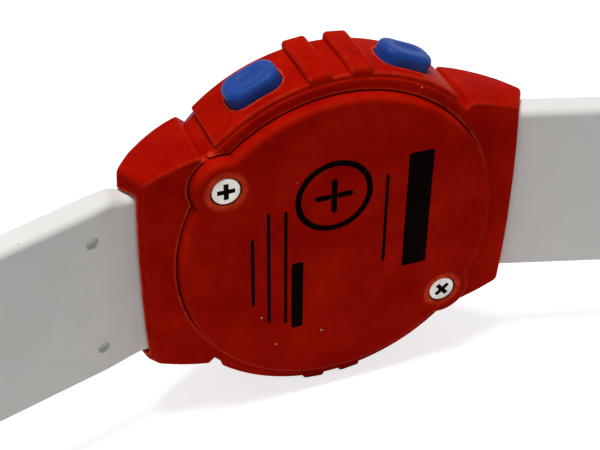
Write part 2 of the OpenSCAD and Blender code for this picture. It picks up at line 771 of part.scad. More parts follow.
// A strap half from its spring bar, round its bend and down its tail, drawn on X and depth
module strap_path(middle, angle, tail) {
    side = strap_t / 2 * [sin(angle), cos(angle)];
    root = [bar_x, bar_z] - roll_r / 4 * [cos(angle), -sin(angle)];
    polygon(concat(
        [root + side],
        bend_points(middle, bend_r + strap_t / 2, 90 - angle, 0),
        [middle + [bend_r + strap_t / 2, -tail], middle + [bend_r - strap_t / 2, -tail]],
        bend_points(middle, bend_r - strap_t / 2, 0, 90 - angle),
        [root - side]
    ));
}

// The hole for a spring bar or buckle bar through a strap
module cross_hole(x, z, r) {
    translate([x, 0, z]) rotate([90, 0, 0]) cylinder(r = r, h = 2 * strap_w, center = true);
}

// The long half seen from the dial, narrowing along its first run
module long_plan() {
    plan_half = long_root_half + long_taper * bar_x / (long_run_x - bar_x);
    end_x = long_tail_x + 2 * strap_t;
    translate([0, 0, long_tip_z - 2 * over]) linear_extrude(2 * bar_z - long_tip_z + 2 * over) polygon([
        [0, -plan_half], [long_run_x, -long_half], [end_x, -long_half],
        [end_x, long_half], [long_run_x, long_half], [0, plan_half]
    ]);
}

module strap_long() {
    color("whitesmoke") stand() rotate([0, 0, 180]) difference() {
        intersection() {
            union() {
                across(strap_w) strap_path(long_middle, long_angle, long_tail + over);
                strap_roll(bar_x, bar_z);
            }
            long_plan();
        }
        cross_hole(bar_x, bar_z, bar_r + run_fit);
        translate([long_tail_x, 0, long_tip_z + tip_r]) rotate([0, 90, 0]) difference() {
            translate([0, -strap_w, -strap_t]) cube([2 * tip_r, 2 * strap_w, 2 * strap_t]);
            cylinder(r = tip_r, h = 4 * strap_t, center = true, $fn = 128);
        }
        for (i = [0 : hole_count - 1]) {
            translate([long_tail_x, 0, long_tip_z + hole_start + i * hole_pitch]) rotate([0, 90, 0])
                cylinder(r = hole_r, h = 4 * strap_t, center = true);
        }
        for (y = [-dimple_half, dimple_half]) {
            translate([bar_x, y, bar_z]) rotate([0, long_angle, 0]) translate([dimple_run, 0, -strap_t / 2])
                cylinder(r = dimple_r, h = 2 * dimple_depth, center = true);
        }
    }
}

module strap_short() {
    color("whitesmoke") stand() difference() {
        union() {
            across(strap_w) strap_path(short_middle, short_angle, short_tail);
            strap_roll(bar_x, bar_z);
            strap_roll(short_tail_x, pin_z);
        }
        cross_hole(bar_x, bar_z, bar_r + run_fit);
        cross_hole(short_tail_x, pin_z, buckle_pin_r + run_fit);
        translate([short_tail_x - 2 * strap_t, -tongue_notch / 2, pin_z - 2 * roll_r])
            cube([4 * strap_t, tongue_notch, 2 * roll_r + tongue_rise + tongue_t + slip_fit]);
    }
}

module keeper_loop() {
    color("whitesmoke") stand() translate([keeper_in_x, 0, keeper_z]) difference() {
        translate([-keeper_t, -strap_half - slip_fit - keeper_t, -keeper_len / 2])
            cube([keeper_room + 2 * keeper_t, strap_w + 2 * slip_fit + 2 * keeper_t, keeper_len]);
        translate([0, -strap_half - slip_fit, -keeper_len])
            cube([keeper_room, strap_w + 2 * slip_fit, 2 * keeper_len]);
    }
}

module buckle_frame() {
    color("silver") stand() translate([short_tail_x, 0, pin_z]) difference() {
        translate([-buckle_t / 2, -buckle_outer_half, -buckle_len - buckle_bar_w / 2])
            cube([buckle_t, 2 * buckle_outer_half, buckle_len + buckle_bar_w / 2 + buckle_t / 2]);
        translate([-buckle_t, -buckle_inner_half, -buckle_len + buckle_bar_w / 2])
            cube([2 * buckle_t, 2 * buckle_inner_half, 2 * buckle_len]);
        cross_hole(0, 0, buckle_pin_r + run_fit);
    }
}

module buckle_pin() {
    color("silver") stand() translate([short_tail_x, 0, pin_z]) rotate([90, 0, 0])
        cylinder(r = buckle_pin_r, h = 2 * buckle_outer_half, center = true);
}

module buckle_tongue() {
    color("silver") stand() difference() {
        translate([0, -tongue_w / 2, 0]) union() {
            translate([short_tail_x, 0, pin_z]) rotate([-90, 0, 0]) cylinder(r = tongue_roll_r, h = tongue_w);
            translate([tongue_x, 0, pin_z - buckle_len - buckle_bar_w / 2])
                cube([tongue_t, tongue_w, buckle_len + buckle_bar_w / 2]);
        }
        cross_hole(short_tail_x, pin_z, buckle_pin_r + run_fit);
    }
}

case_body();
case_back();
case_screws();
foam_pad();
battery_clip();
battery();
battery_contact();
spacer_ring();
circuit_board();
chip_blob();
crystal_can();
module_screws();
lcd_holder();
zebra_strips();
lcd_panel();
dial_mask();
lens();
front_bezel();
pusher_2();
pusher_4();
pusher_clip_2();
pusher_clip_4();
contact_leaf_2();
contact_leaf_4();
spring_bar_12();
spring_bar_6();
strap_long();
strap_short();
keeper_loop();
buckle_frame();
buckle_pin();
buckle_tongue();
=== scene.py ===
# %% [markdown]
# # A child's digital watch, seen from behind
# The watch stands on its 9 o'clock side with its strap open, so the camera looks at the red case back. We
# load the construction model as a fixed frame, model each visible piece again with the soft edges of
# moulded plastic, and let every piece ride on the body that carries it. Each step adds one piece or one
# finish.

# %% Load the fixed frame
import json
import math

import bmesh
import bpy
from mathutils import Matrix, Vector


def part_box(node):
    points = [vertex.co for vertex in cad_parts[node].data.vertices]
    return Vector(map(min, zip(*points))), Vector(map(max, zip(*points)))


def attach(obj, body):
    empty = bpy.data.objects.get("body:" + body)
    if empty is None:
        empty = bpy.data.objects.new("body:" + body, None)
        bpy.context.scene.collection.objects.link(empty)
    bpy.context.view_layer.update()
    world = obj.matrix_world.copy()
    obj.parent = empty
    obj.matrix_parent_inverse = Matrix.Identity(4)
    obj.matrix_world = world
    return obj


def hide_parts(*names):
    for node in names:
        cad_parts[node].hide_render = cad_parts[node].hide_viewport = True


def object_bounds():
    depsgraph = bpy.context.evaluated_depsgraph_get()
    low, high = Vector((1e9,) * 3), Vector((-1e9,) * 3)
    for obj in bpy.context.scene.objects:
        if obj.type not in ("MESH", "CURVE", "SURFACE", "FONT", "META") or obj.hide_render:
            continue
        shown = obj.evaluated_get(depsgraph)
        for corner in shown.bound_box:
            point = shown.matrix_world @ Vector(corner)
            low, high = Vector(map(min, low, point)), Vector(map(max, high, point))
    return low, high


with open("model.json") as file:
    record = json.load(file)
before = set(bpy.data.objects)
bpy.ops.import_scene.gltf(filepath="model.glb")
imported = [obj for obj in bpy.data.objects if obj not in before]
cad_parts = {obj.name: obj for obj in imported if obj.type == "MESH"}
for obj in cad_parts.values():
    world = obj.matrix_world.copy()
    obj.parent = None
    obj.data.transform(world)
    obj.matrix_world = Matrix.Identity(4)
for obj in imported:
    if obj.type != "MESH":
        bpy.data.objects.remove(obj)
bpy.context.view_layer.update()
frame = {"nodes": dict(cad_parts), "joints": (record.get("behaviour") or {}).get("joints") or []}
joints = {joint["name"]: joint for joint in frame["joints"]}

# %% [markdown]
# ## The watch's own axes
# Every piece is drawn in millimetres on the watch's own axes: X runs to 12 o'clock, Y runs from the case
# back into the dial, and Z runs to 3 o'clock. The real watch leans back on its strap. Each piece could be
# drawn leaning, but then no number would match a drawing of the watch. So one matrix turns a finished
# piece by that lean and brings it to metres. The lean is read from a strap hinge, whose axis runs along
# the watch's Z.

# %% The lean and the joint positions
MM = 0.001
hinge_axis = Vector(joints["strap_short_hinge"]["axis"])
LEAN = math.atan2(-hinge_axis.y, hinge_axis.z)
TILT = Matrix.Rotation(LEAN, 4, "X")
STAND = TILT @ Matrix.Scale(MM, 4)


def joint_place(name):
    """A joint's position on the watch's own axes, in millimetres."""
    return STAND.inverted() @ Vector(joints[name]["pos_m"])


bar = joint_place("strap_short_hinge")
buckle_bar = joint_place("buckle_hinge")
print(f"lean {math.degrees(LEAN):.2f} degrees")
print(f"spring bar at {bar.x:.1f} mm, buckle bar at {buckle_bar.x:.1f} mm")

# %% [markdown]
# ## Outlines
# A moulded or bent piece looks real when its corners have the radius that the tool left there. An outline
# could be a long list of points, but then no radius could be changed later. So an outline here is a few
# corners, each with a radius of its own, and a small function puts the arcs in.

# %% Arcs and rounded corners
def polar(r, degrees):
    """A point on a circle about the middle."""
    angle = math.radians(degrees)
    return Vector((r * math.cos(angle), r * math.sin(angle)))


def arc(middle, r, start, end, steps):
    """Points along an arc from one angle to another."""
    return [Vector(middle) + polar(r, start + (end - start) * i / steps) for i in range(steps + 1)]


def rounded(corners, steps=4):
    """An outline whose corners (u, v, radius) are rounded."""
    points = []
    for i, (u, v, radius) in enumerate(corners):
        here = Vector((u, v))
        if radius == 0:
            points.append(here)
            continue
        back = (Vector(corners[i - 1][:2]) - here).normalized()
        ahead = (Vector(corners[(i + 1) % len(corners)][:2]) - here).normalized()
        half = back.angle(ahead) / 2
        middle = here + (back + ahead).normalized() * radius / math.sin(half)
        start = here + back * radius / math.tan(half) - middle
        end = here + ahead * radius / math.tan(half) - middle
        turn = -start.angle_signed(end)
        points += [middle + Matrix.Rotation(turn * k / steps, 2) @ start for k in range(steps + 1)]
    return points


trial = rounded([(-1, -1, 0.5), (1, -1, 0.5), (1, 1, 0.5), (-1, 1, 0.5)])
print("a square with rounded corners has", len(trial), "points")

# %% [markdown]
# ## Turned and pushed solids
# A watch is mostly round shapes, and flat shapes with a thickness. A ready-made cylinder or cube would
# need much editing. So a round piece is half a section, spun about the watch's axis, and a flat piece is
# an outline, extruded along one axis. A spin leaves a seam and doubled points, so these are merged and
# the normals are recalculated.

# %% Spin and extrude
SMALL_TURN = 64
SAME_PLACE = 1e-4


def clock(degrees):
    """Turns a piece from 12 o'clock to an angle towards 3 o'clock."""
    return Matrix.Rotation(-math.radians(degrees), 4, "Y")


def moved(bm, matrix):
    bmesh.ops.transform(bm, matrix=matrix, verts=bm.verts)
    return bm


def shifted(bm, x=0, y=0, z=0):
    return moved(bm, Matrix.Translation((x, y, z)))


def turned(profile, steps=SMALL_TURN):
    """A profile of (radius, depth) points, spun about the depth axis."""
    bm = bmesh.new()
    verts = [bm.verts.new((r, y, 0)) for r, y in profile]
    on_axis = profile[0][0] == 0 and profile[-1][0] == 0
    edges = [bm.edges.new((verts[i - 1], verts[i])) for i in range(1 if on_axis else 0, len(verts))]
    bmesh.ops.spin(bm, geom=verts + edges, cent=(0, 0, 0), axis=(0, 1, 0), angle=2 * math.pi,
                   steps=steps, use_merge=True)
    bmesh.ops.remove_doubles(bm, verts=bm.verts, dist=SAME_PLACE)
    bmesh.ops.recalc_face_normals(bm, faces=bm.faces)
    return bm


LIFT = {"X": lambda u, v, w: (w, u, v), "Y": lambda u, v, w: (u, w, v), "Z": lambda u, v, w: (u, v, w)}


def prism(outline, low, high, axis):
    """An outline pushed from low to high along one axis."""
    bm = bmesh.new()
    face = bm.faces.new([bm.verts.new(LIFT[axis](u, v, low)) for u, v in outline])
    grown = bmesh.ops.extrude_face_region(bm, geom=[face])["geom"]
    ends = [part for part in grown if isinstance(part, bmesh.types.BMVert)]
    bmesh.ops.translate(bm, verts=ends, vec=LIFT[axis](0, 0, high - low))
    bmesh.ops.recalc_face_normals(bm, faces=bm.faces)
    return bm


trial = turned([(1, 0), (2, 0), (2, 1), (1, 1)])
print("a turned ring has", len(trial.faces), "faces")
trial.free()

# %% [markdown]
# ## Rounded edges
# No moulded edge is knife sharp, and it is the thin bright line along an edge that makes a piece look
# solid. A Bevel modifier would round all edges of a piece alike. The bevel operator takes the edges that
# we choose by their angle and place, so a hole can stay crisp beside a soft rim.

# %% Bevel by angle
def soften(bm, width, segments=3, sharper_than=32, where=None):
    """Rounds the edges that are sharper than an angle."""
    limit = math.radians(sharper_than)
    edges = [e for e in bm.edges if len(e.link_faces) == 2 and e.calc_face_angle() > limit]
    if where:
        edges = [e for e in edges if where((e.verts[0].co + e.verts[1].co) / 2)]
    bmesh.ops.bevel(bm, geom=edges, offset=width, offset_type="OFFSET", segments=segments, profile=0.5,
                    affect="EDGES", material=-1, clamp_overlap=True)
    return bm


trial = soften(prism([(0, 0), (1, 0), (1, 1), (0, 1)], 0, 1, "Z"), 0.1)
print("a block with rounded edges has", len(trial.faces), "faces")
trial.free()

# %% [markdown]
# ## Cutting and joining
# Slots and holes could be drawn into the faces by hand, but a slot through a curved wall is what a
# Boolean is for. The exact solver wants closed shapes, and a union also has to look for crossings within
# one shape, or it loses the barrel. We read the result once and keep a plain mesh. Slivers are then
# dissolved, and the few small gaps that the solver leaves are closed.

# %% Boolean helpers
GAP_SIDES = 6


def as_object(name, bm):
    mesh = bpy.data.meshes.new(name)
    bm.to_mesh(mesh)
    bm.free()
    obj = bpy.data.objects.new(name, mesh)
    bpy.context.scene.collection.objects.link(obj)
    return obj


def combined(operation, body, others):
    """One closed body with closed shapes cut out of it or joined to it."""
    block = as_object("first_shape", body)
    tools = [as_object("other_shape", other) for other in others]
    for tool in tools:
        step = block.modifiers.new("step", "BOOLEAN")
        step.operation = operation
        step.solver = "EXACT"
        step.use_self = operation == "UNION"
        step.object = tool
    shaped = block.evaluated_get(bpy.context.evaluated_depsgraph_get())
    result = bmesh.new()
    result.from_mesh(shaped.to_mesh())
    shaped.to_mesh_clear()
    for used in [block] + tools:
        mesh = used.data
        bpy.data.objects.remove(used)
        bpy.data.meshes.remove(mesh)
    bmesh.ops.dissolve_degenerate(result, dist=SAME_PLACE, edges=result.edges)
    bmesh.ops.holes_fill(result, edges=[e for e in result.edges if e.is_boundary], sides=GAP_SIDES)
    return result


def carve(body, *cutters):
    return combined("DIFFERENCE", body, cutters)


def fused(body, *others):
    """One shell from several overlapping shapes, joined one at a time."""
    for other in others:
        body = combined("UNION", body, [other])
    return body


trial = carve(turned([(0, 0), (2, 0), (2, 1), (0, 1)]), turned([(0, -1), (1, -1), (1, 2), (0, 2)]))
print(f"a washer cut from a disc holds {trial.calc_volume():.2f} cubic mm")
trial.free()

# %% Several shells in one mesh
def joined(*shells):
    """Several closed shells in one mesh, left as they are."""
    whole = bmesh.new()
    for shell in shells:
        mesh = bpy.data.meshes.new("shell")
        shell.to_mesh(mesh)
        shell.free()
        whole.from_mesh(mesh)
        bpy.data.meshes.remove(mesh)
    return whole


disc = [(0, 0), (2, 0), (2, 1), (0, 1)]
trial = joined(turned(disc), shifted(turned(disc), 5))
print("two discs in one mesh have", len(trial.faces), "faces")
trial.free()

# %% [markdown]
# ## Putting a piece in its place
# On the real watch each piece is carried by another one. Here a finished mesh is stood in the frame with
# its place in its points, gets its finish, and rides on the body that carries it. Parents and offsets
# would do this too, but a pattern on Object coordinates stays put only if every object sits at the
# origin.

# %% Place a piece
SMOOTH_ANGLE = 38


def place(name, bm, material, body, slot, *nodes):
    """Stands a finished piece in the frame, gives it its finish and rides it on its body."""
    moved(bm, STAND)
    open_edges = sum(not e.is_manifold for e in bm.edges)
    obj = as_object(name, bm)
    obj.data.materials.append(material)
    obj.data.shade_smooth()
    obj.data.set_sharp_from_angle(angle=math.radians(SMOOTH_ANGLE))
    weighted = obj.modifiers.new("even_shading", "WEIGHTED_NORMAL")
    weighted.keep_sharp = True
    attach(obj, body)
    if nodes:
        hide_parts(*nodes)
    print(f"{name}: {len(obj.data.polygons)} faces, {open_edges} open edges, rides on {body}")
    return obj


print("edges sharper than", SMOOTH_ANGLE, "degrees are shaded crisp")

# %% [markdown]
# ## Effects that several finishes share
# Real plastic and metal have clouds, grain, dust and wear, and worn edges here also carry a painted
# highlight. Several finishes here need the same ones.
# Each could be wired again in every material. Instead, an effect is a shader group that is built once,
# placed with its own values, and puts out only what changes over the surface. First come a few helpers
# that keep the wiring short.

# %% Shader group helpers
COLOUR = "NodeSocketColor"
VALUE = "NodeSocketFloat"


def new_group(name, inputs, outputs):
    """A shader group with named sockets, and its two ends."""
    group = bpy.data.node_groups.new(name, "ShaderNodeTree")
    for label, kind, value in inputs:
        socket = group.interface.new_socket(label, in_out="INPUT", socket_type=kind)
        socket.default_value = value
    for label, kind in outputs:
        group.interface.new_socket(label, in_out="OUTPUT", socket_type=kind)
    return group, group.nodes.new("NodeGroupInput"), group.nodes.new("NodeGroupOutput")


def report(group):
    """Prints a shader group's sockets."""
    sockets = group.interface.items_tree
    takes = [socket.name for socket in sockets if socket.in_out == "INPUT"]
    gives = [socket.name for socket in sockets if socket.in_out == "OUTPUT"]
    print(f"{group.name} takes {takes} and gives {gives}")


def wire(tree, source, target):
    tree.links.new(source, target)


print("shader groups so far:", len(bpy.data.node_groups))

# %% Noise, range, sum and mix nodes
def add_noise(tree, scale, detail, roughness=0.5):
    """A noise on Object coordinates, where 1 / scale is the size of a cloud in metres."""
    where = tree.nodes.new("ShaderNodeTexCoord")
    noise = tree.nodes.new("ShaderNodeTexNoise")
    noise.inputs["Scale"].default_value = scale
    noise.inputs["Detail"].default_value = detail
    noise.inputs["Roughness"].default_value = roughness
    wire(tree, where.outputs["Object"], noise.inputs["Vector"])
    return noise.outputs["Fac"]


def add_range(tree, source, low, high, out_low=0, out_high=1):
    """Maps a value from one range to another."""
    node = tree.nodes.new("ShaderNodeMapRange")
    for label, value in (("From Min", low), ("From Max", high), ("To Min", out_low), ("To Max", out_high)):
        node.inputs[label].default_value = value
    wire(tree, source, node.inputs["Value"])
    return node.outputs["Result"]


def add_math(tree, operation, first, second):
    """One sum on two sockets."""
    node = tree.nodes.new("ShaderNodeMath")
    node.operation = operation
    wire(tree, first, node.inputs[0])
    wire(tree, second, node.inputs[1])
    return node.outputs[0]


def add_mix(tree, factor, first, second):
    """Mixes two colours by a mask."""
    node = tree.nodes.new("ShaderNodeMix")
    node.data_type = "RGBA"
    wire(tree, factor, node.inputs[0])
    wire(tree, first, node.inputs[6])
    wire(tree, second, node.inputs[7])
    return node.outputs[2]


print(f"a noise of scale 100 has clouds of {1 / 100 / MM:.0f} mm")

# %% [markdown]
# ### Clouds and grain
# Moulded plastic is never one flat colour: the melt leaves faint clouds, smears change its gloss, and the
# mould's face leaves a fine grain. A picture of plastic would need a UV map and repeat itself. Three
# noises on Object coordinates have no seam, and the same scale on every piece.

# %% Clouds and grain of moulded plastic
CLOUD_SCALE = 170
SMEAR_SCALE = 3 * CLOUD_SCALE
GRAIN_SCALE = 4200


def make_moulded_skin():
    group, start, end = new_group(
        "moulded_skin",
        [("Deep", COLOUR, (0.3, 0, 0, 1)), ("Pale", COLOUR, (0.5, 0, 0, 1)),
         ("Dull", VALUE, 0.55), ("Shiny", VALUE, 0.38)],
        [("Colour", COLOUR), ("Roughness", VALUE), ("Height", VALUE)])
    clouds = add_range(group, add_noise(group, CLOUD_SCALE, detail=6, roughness=0.72), low=0.3, high=0.7)
    wire(group, add_mix(group, clouds, start.outputs["Deep"], start.outputs["Pale"]), end.inputs["Colour"])
    wire(group, add_noise(group, GRAIN_SCALE, detail=3, roughness=0.6), end.inputs["Height"])
    gloss = group.nodes.new("ShaderNodeMapRange")
    wire(group, add_noise(group, SMEAR_SCALE, detail=5, roughness=0.65), gloss.inputs["Value"])
    wire(group, start.outputs["Shiny"], gloss.inputs["To Min"])
    wire(group, start.outputs["Dull"], gloss.inputs["To Max"])
    wire(group, gloss.outputs["Result"], end.inputs["Roughness"])
    return group


moulded_skin = make_moulded_skin()
report(moulded_skin)
print(f"clouds of {1000 / CLOUD_SCALE:.1f} mm, grain of {1000 / GRAIN_SCALE:.2f} mm")

# %% [markdown]
# ### Dust
# A watch that has been worn holds pale specks, in patches. Modelled specks would be thousands of tiny
# meshes. A Voronoi texture marks the middle of each of its cells instead, and a coarse noise keeps only
# some patches.

# %% Dust specks
SPECK_SCALE = 420
PATCH_SCALE = SPECK_SCALE / 5


def make_dust():
    group, start, end = new_group(
        "dust_specks",
        [("Colour", COLOUR, (0.5, 0.5, 0.5, 1)), ("Dust", COLOUR, (0.7, 0.6, 0.55, 1)),
         ("Size", VALUE, 0.07)],
        [("Colour", COLOUR)])
    where = group.nodes.new("ShaderNodeTexCoord")
    cells = group.nodes.new("ShaderNodeTexVoronoi")
    cells.inputs["Scale"].default_value = SPECK_SCALE
    wire(group, where.outputs["Object"], cells.inputs["Vector"])
    specks = add_math(group, "LESS_THAN", cells.outputs["Distance"], start.outputs["Size"])
    patches = add_range(group, add_noise(group, PATCH_SCALE, detail=2), low=0.56, high=0.62, out_high=0.7)
    mask = add_math(group, "MULTIPLY", specks, patches)
    wire(group, add_mix(group, mask, start.outputs["Colour"], start.outputs["Dust"]), end.inputs["Colour"])
    return group


dust_specks = make_dust()
report(dust_specks)

# %% [markdown]
# ### Worn edges, with a painted highlight
# Where hands and tables wear it, an edge turns paler. Here the same paler line also stands in for the
# glint that a glossy rounded edge catches, so it is partly a painted highlight. It could be painted edge
# by edge, and Geometry's Pointiness needs a much denser mesh. An Ambient Occlusion node that looks
# inwards is dark only close to an outer edge, so it finds them all. A noise breaks the line up. It works on
# one fused shell, because the hidden walls of overlapping shells would count as edges too.

# %% Worn edges with a painted highlight
RUB_AND_HIGHLIGHT_SCALE = 900
RUB_AND_HIGHLIGHT_REACH = 0.0003
RUB_AND_HIGHLIGHT_RAYS = 8


def make_edge_rub_and_highlight():
    group, start, end = new_group(
        "edge_rub_and_highlight",
        [("Colour", COLOUR, (0.5, 0.5, 0.5, 1)), ("Rubbed", COLOUR, (0.8, 0.8, 0.8, 1)),
         ("Reach", VALUE, RUB_AND_HIGHLIGHT_REACH), ("Amount", VALUE, 0.5)],
        [("Colour", COLOUR)])
    feeler = group.nodes.new("ShaderNodeAmbientOcclusion")
    feeler.inside = True
    feeler.only_local = True
    feeler.samples = RUB_AND_HIGHLIGHT_RAYS
    wire(group, start.outputs["Reach"], feeler.inputs["Distance"])
    # Outer edges: paler for wear, and a painted highlight along them.
    edges = add_range(group, feeler.outputs["AO"], low=0.95, high=0.6)
    noise = add_noise(group, RUB_AND_HIGHLIGHT_SCALE, detail=5, roughness=0.7)
    patches = add_range(group, noise, low=0.35, high=0.65, out_low=0.15)
    broken = add_math(group, "MULTIPLY", edges, patches)
    mask = add_math(group, "MULTIPLY", broken, start.outputs["Amount"])
    colour = add_mix(group, mask, start.outputs["Colour"], start.outputs["Rubbed"])
    wire(group, colour, end.inputs["Colour"])
    return group


edge_rub_and_highlight = make_edge_rub_and_highlight()
report(edge_rub_and_highlight)

# %% [markdown]
# ### Plated metal
# The screws and the buckle are drawn steel with a thin plating: a little stained, with fine streaks one
# way. An anisotropic shader would streak the gloss, but the export drops it. A noise that is stretched by
# a Mapping node changes the roughness and the bump instead, and a second noise makes the stains.

# %% Drawn and plated metal
STREAK_SCALE = 1500
STREAK_STRETCH = (1, 1, 0.08)
STAIN_SCALE = 600


def make_plated_metal():
    group, start, end = new_group(
        "plated_metal",
        [("Dark", COLOUR, (0.4, 0.4, 0.4, 1)), ("Light", COLOUR, (0.7, 0.7, 0.7, 1))],
        [("Colour", COLOUR), ("Roughness", VALUE), ("Height", VALUE)])
    where = group.nodes.new("ShaderNodeTexCoord")
    stretch = group.nodes.new("ShaderNodeMapping")
    stretch.inputs["Scale"].default_value = STREAK_STRETCH
    wire(group, where.outputs["Object"], stretch.inputs["Vector"])
    streaks = group.nodes.new("ShaderNodeTexNoise")
    streaks.inputs["Scale"].default_value = STREAK_SCALE
    streaks.inputs["Detail"].default_value = 4
    wire(group, stretch.outputs["Vector"], streaks.inputs["Vector"])
    stains = add_range(group, add_noise(group, STAIN_SCALE, detail=4, roughness=0.6), low=0.35, high=0.65)
    wire(group, add_mix(group, stains, start.outputs["Dark"], start.outputs["Light"]), end.inputs["Colour"])
    gloss = add_range(group, streaks.outputs["Fac"], low=0.2, high=0.8, out_low=0.24, out_high=0.46)
    wire(group, gloss, end.inputs["Roughness"])
    wire(group, streaks.outputs["Fac"], end.inputs["Height"])
    return group


plated_metal = make_plated_metal()
report(plated_metal)

# %% [markdown]
# ## Finishes
# The red case is satin plastic, the pushers and the bezel are the same kind in blue, and the strap is a
# matt elastomer. Every finish could be wired alone, but they differ only in colour, gloss, bump and dust,
# so one function makes the plastics and another the metals. What is the same all over a surface, such as
# the specular level, stays on the shader's own socket.

# %% Material helpers
GRAIN_DEPTH = 0.00003
STREAK_DEPTH = 0.00002


def new_material(name):
    material = bpy.data.materials.new(name)
    material.use_nodes = True
    return material, material.node_tree, material.node_tree.nodes["Principled BSDF"]


def use_group(tree, group, **values):
    """Places a shader group and sets its inputs."""
    node = tree.nodes.new("ShaderNodeGroup")
    node.node_tree = group
    for label, value in values.items():
        node.inputs[label].default_value = value
    return node


def add_bump(tree, height, shader, strength, distance):
    bump = tree.nodes.new("ShaderNodeBump")
    bump.inputs["Strength"].default_value = strength
    bump.inputs["Distance"].default_value = distance
    wire(tree, height, bump.inputs["Height"])
    wire(tree, bump.outputs["Normal"], shader.inputs["Normal"])


print(f"grain {GRAIN_DEPTH / MM:.2f} mm deep, streaks {STREAK_DEPTH / MM:.2f} mm deep")

# %% Plastic and metal
def moulded(name, deep, pale, specular, dull=0.55, shiny=0.38, bump=0.12, dust=0.06, rubbed_and_lit=None, rub_and_highlight=0.5):
    """A moulded plastic or elastomer, with worn and painted-highlight edges where a colour is given."""
    material, tree, shader = new_material(name)
    skin = use_group(tree, moulded_skin, Deep=(*deep, 1), Pale=(*pale, 1), Dull=dull, Shiny=shiny)
    specks = use_group(tree, dust_specks, Size=dust)
    colour = skin.outputs["Colour"]
    # Paler edges: wear and a painted highlight.
    if rubbed_and_lit:
        edges = use_group(tree, edge_rub_and_highlight, Rubbed=(*rubbed_and_lit, 1), Amount=rub_and_highlight)
        wire(tree, colour, edges.inputs["Colour"])
        colour = edges.outputs["Colour"]
    wire(tree, colour, specks.inputs["Colour"])
    wire(tree, specks.outputs["Colour"], shader.inputs["Base Color"])
    wire(tree, skin.outputs["Roughness"], shader.inputs["Roughness"])
    shader.inputs["Specular IOR Level"].default_value = specular
    add_bump(tree, skin.outputs["Height"], shader, bump, GRAIN_DEPTH)
    return material


def metal(name, dark, light, bump=0.1):
    """A plated or drawn metal."""
    material, tree, shader = new_material(name)
    plate = use_group(tree, plated_metal, Dark=(*dark, 1), Light=(*light, 1))
    wire(tree, plate.outputs["Colour"], shader.inputs["Base Color"])
    wire(tree, plate.outputs["Roughness"], shader.inputs["Roughness"])
    shader.inputs["Metallic"].default_value = 1
    add_bump(tree, plate.outputs["Height"], shader, bump, STREAK_DEPTH)
    return material


made_before = set(bpy.data.materials)


def list_finishes():
    """Prints the finishes that this script has made so far."""
    print("finishes:", [material.name for material in bpy.data.materials if material not in made_before])


list_finishes()

# %% Plastics and rubbers
# The edge colours of the red and the blue plastic are partly wear, partly a painted highlight.
red_plastic = moulded("red_plastic", (0.31, 0.0012, 0.0003), (0.53, 0.009, 0.0006), specular=0.006,
                      dull=0.42, shiny=0.28, dust=0.05, rubbed_and_lit=(0.9, 0.085, 0.025), rub_and_highlight=0.9)
blue_plastic = moulded("blue_plastic", (0.005, 0.045, 0.265), (0.008, 0.058, 0.3), specular=0.16,
                       rubbed_and_lit=(0.06, 0.17, 0.55), rub_and_highlight=0.4)
strap_rubber = moulded("strap_rubber", (0.84, 0.83, 0.80), (0.89, 0.88, 0.86), specular=0.15,
                       dull=0.7, shiny=0.55, bump=0.18, dust=0.05)
white_plastic = moulded("white_plastic", (0.74, 0.74, 0.71), (0.8, 0.8, 0.78), specular=0.3)
foam = moulded("foam", (0.03, 0.03, 0.03), (0.07, 0.07, 0.07), specular=0.1,
               dull=0.95, shiny=0.85, bump=0.8)
board_green = moulded("board_green", (0.015, 0.12, 0.045), (0.03, 0.18, 0.07), specular=0.4,
                      dull=0.4, shiny=0.25)
epoxy_black = moulded("epoxy_black", (0.008, 0.008, 0.008), (0.016, 0.016, 0.016), specular=0.4,
                      dull=0.3, shiny=0.2)
zebra_rubber = moulded("zebra_rubber", (0.25, 0.2, 0.21), (0.4, 0.34, 0.35), specular=0.2,
                       dull=0.8, shiny=0.6)
list_finishes()

# %% Inks and display
DISPLAY_GLOSS = {"specular": 0.5, "dull": 0.2, "shiny": 0.12, "bump": 0.05, "dust": 0.02}
black_ink = moulded("black_ink", (0.0015, 0.0006, 0.0006), (0.005, 0.0015, 0.0012), specular=0.008,
                    dull=0.75, shiny=0.6, bump=0.1, dust=0.03)
dial_print = moulded("dial_print", (0.012, 0.045, 0.21), (0.016, 0.055, 0.24), specular=0.2,
                     dull=0.6, shiny=0.5)
dial_white = moulded("dial_white", (0.74, 0.75, 0.76), (0.8, 0.8, 0.8), specular=0.2, dull=0.6, shiny=0.5)
display_ground = moulded("display_ground", (0.26, 0.30, 0.22), (0.29, 0.33, 0.25), **DISPLAY_GLOSS)
display_dark = moulded("display_dark", (0.012, 0.014, 0.014), (0.02, 0.022, 0.02), **DISPLAY_GLOSS)
list_finishes()

# %% Metals, and grime with painted recess shade
screw_steel = metal("screw_steel", (0.36, 0.34, 0.32), (0.56, 0.54, 0.51))
# A dark finish for the screw recesses: some grime, and painted shade for the shadow in the recess.
screw_grime_and_shade = moulded("screw_grime_and_shade", (0.006, 0.005, 0.005), (0.016, 0.013, 0.012), specular=0.1,
                      dull=0.8, shiny=0.7)
buckle_steel = metal("buckle_steel", (0.28, 0.28, 0.29), (0.42, 0.42, 0.43))
brass_sheet = metal("brass_sheet", (0.5, 0.34, 0.12), (0.72, 0.53, 0.24))
list_finishes()

# %% [markdown]
# ### The clear lens
# The lens is a clear acrylic disc with faint finger smears. A see-through Alpha would be simpler, but
# only real transmission bends light at the lens's rim, so the shader transmits with the index of acrylic,
# and a noise on its roughness makes the smears.

# %% Lens finish
ACRYLIC_IOR = 1.49
FINGER_SCALE = 300


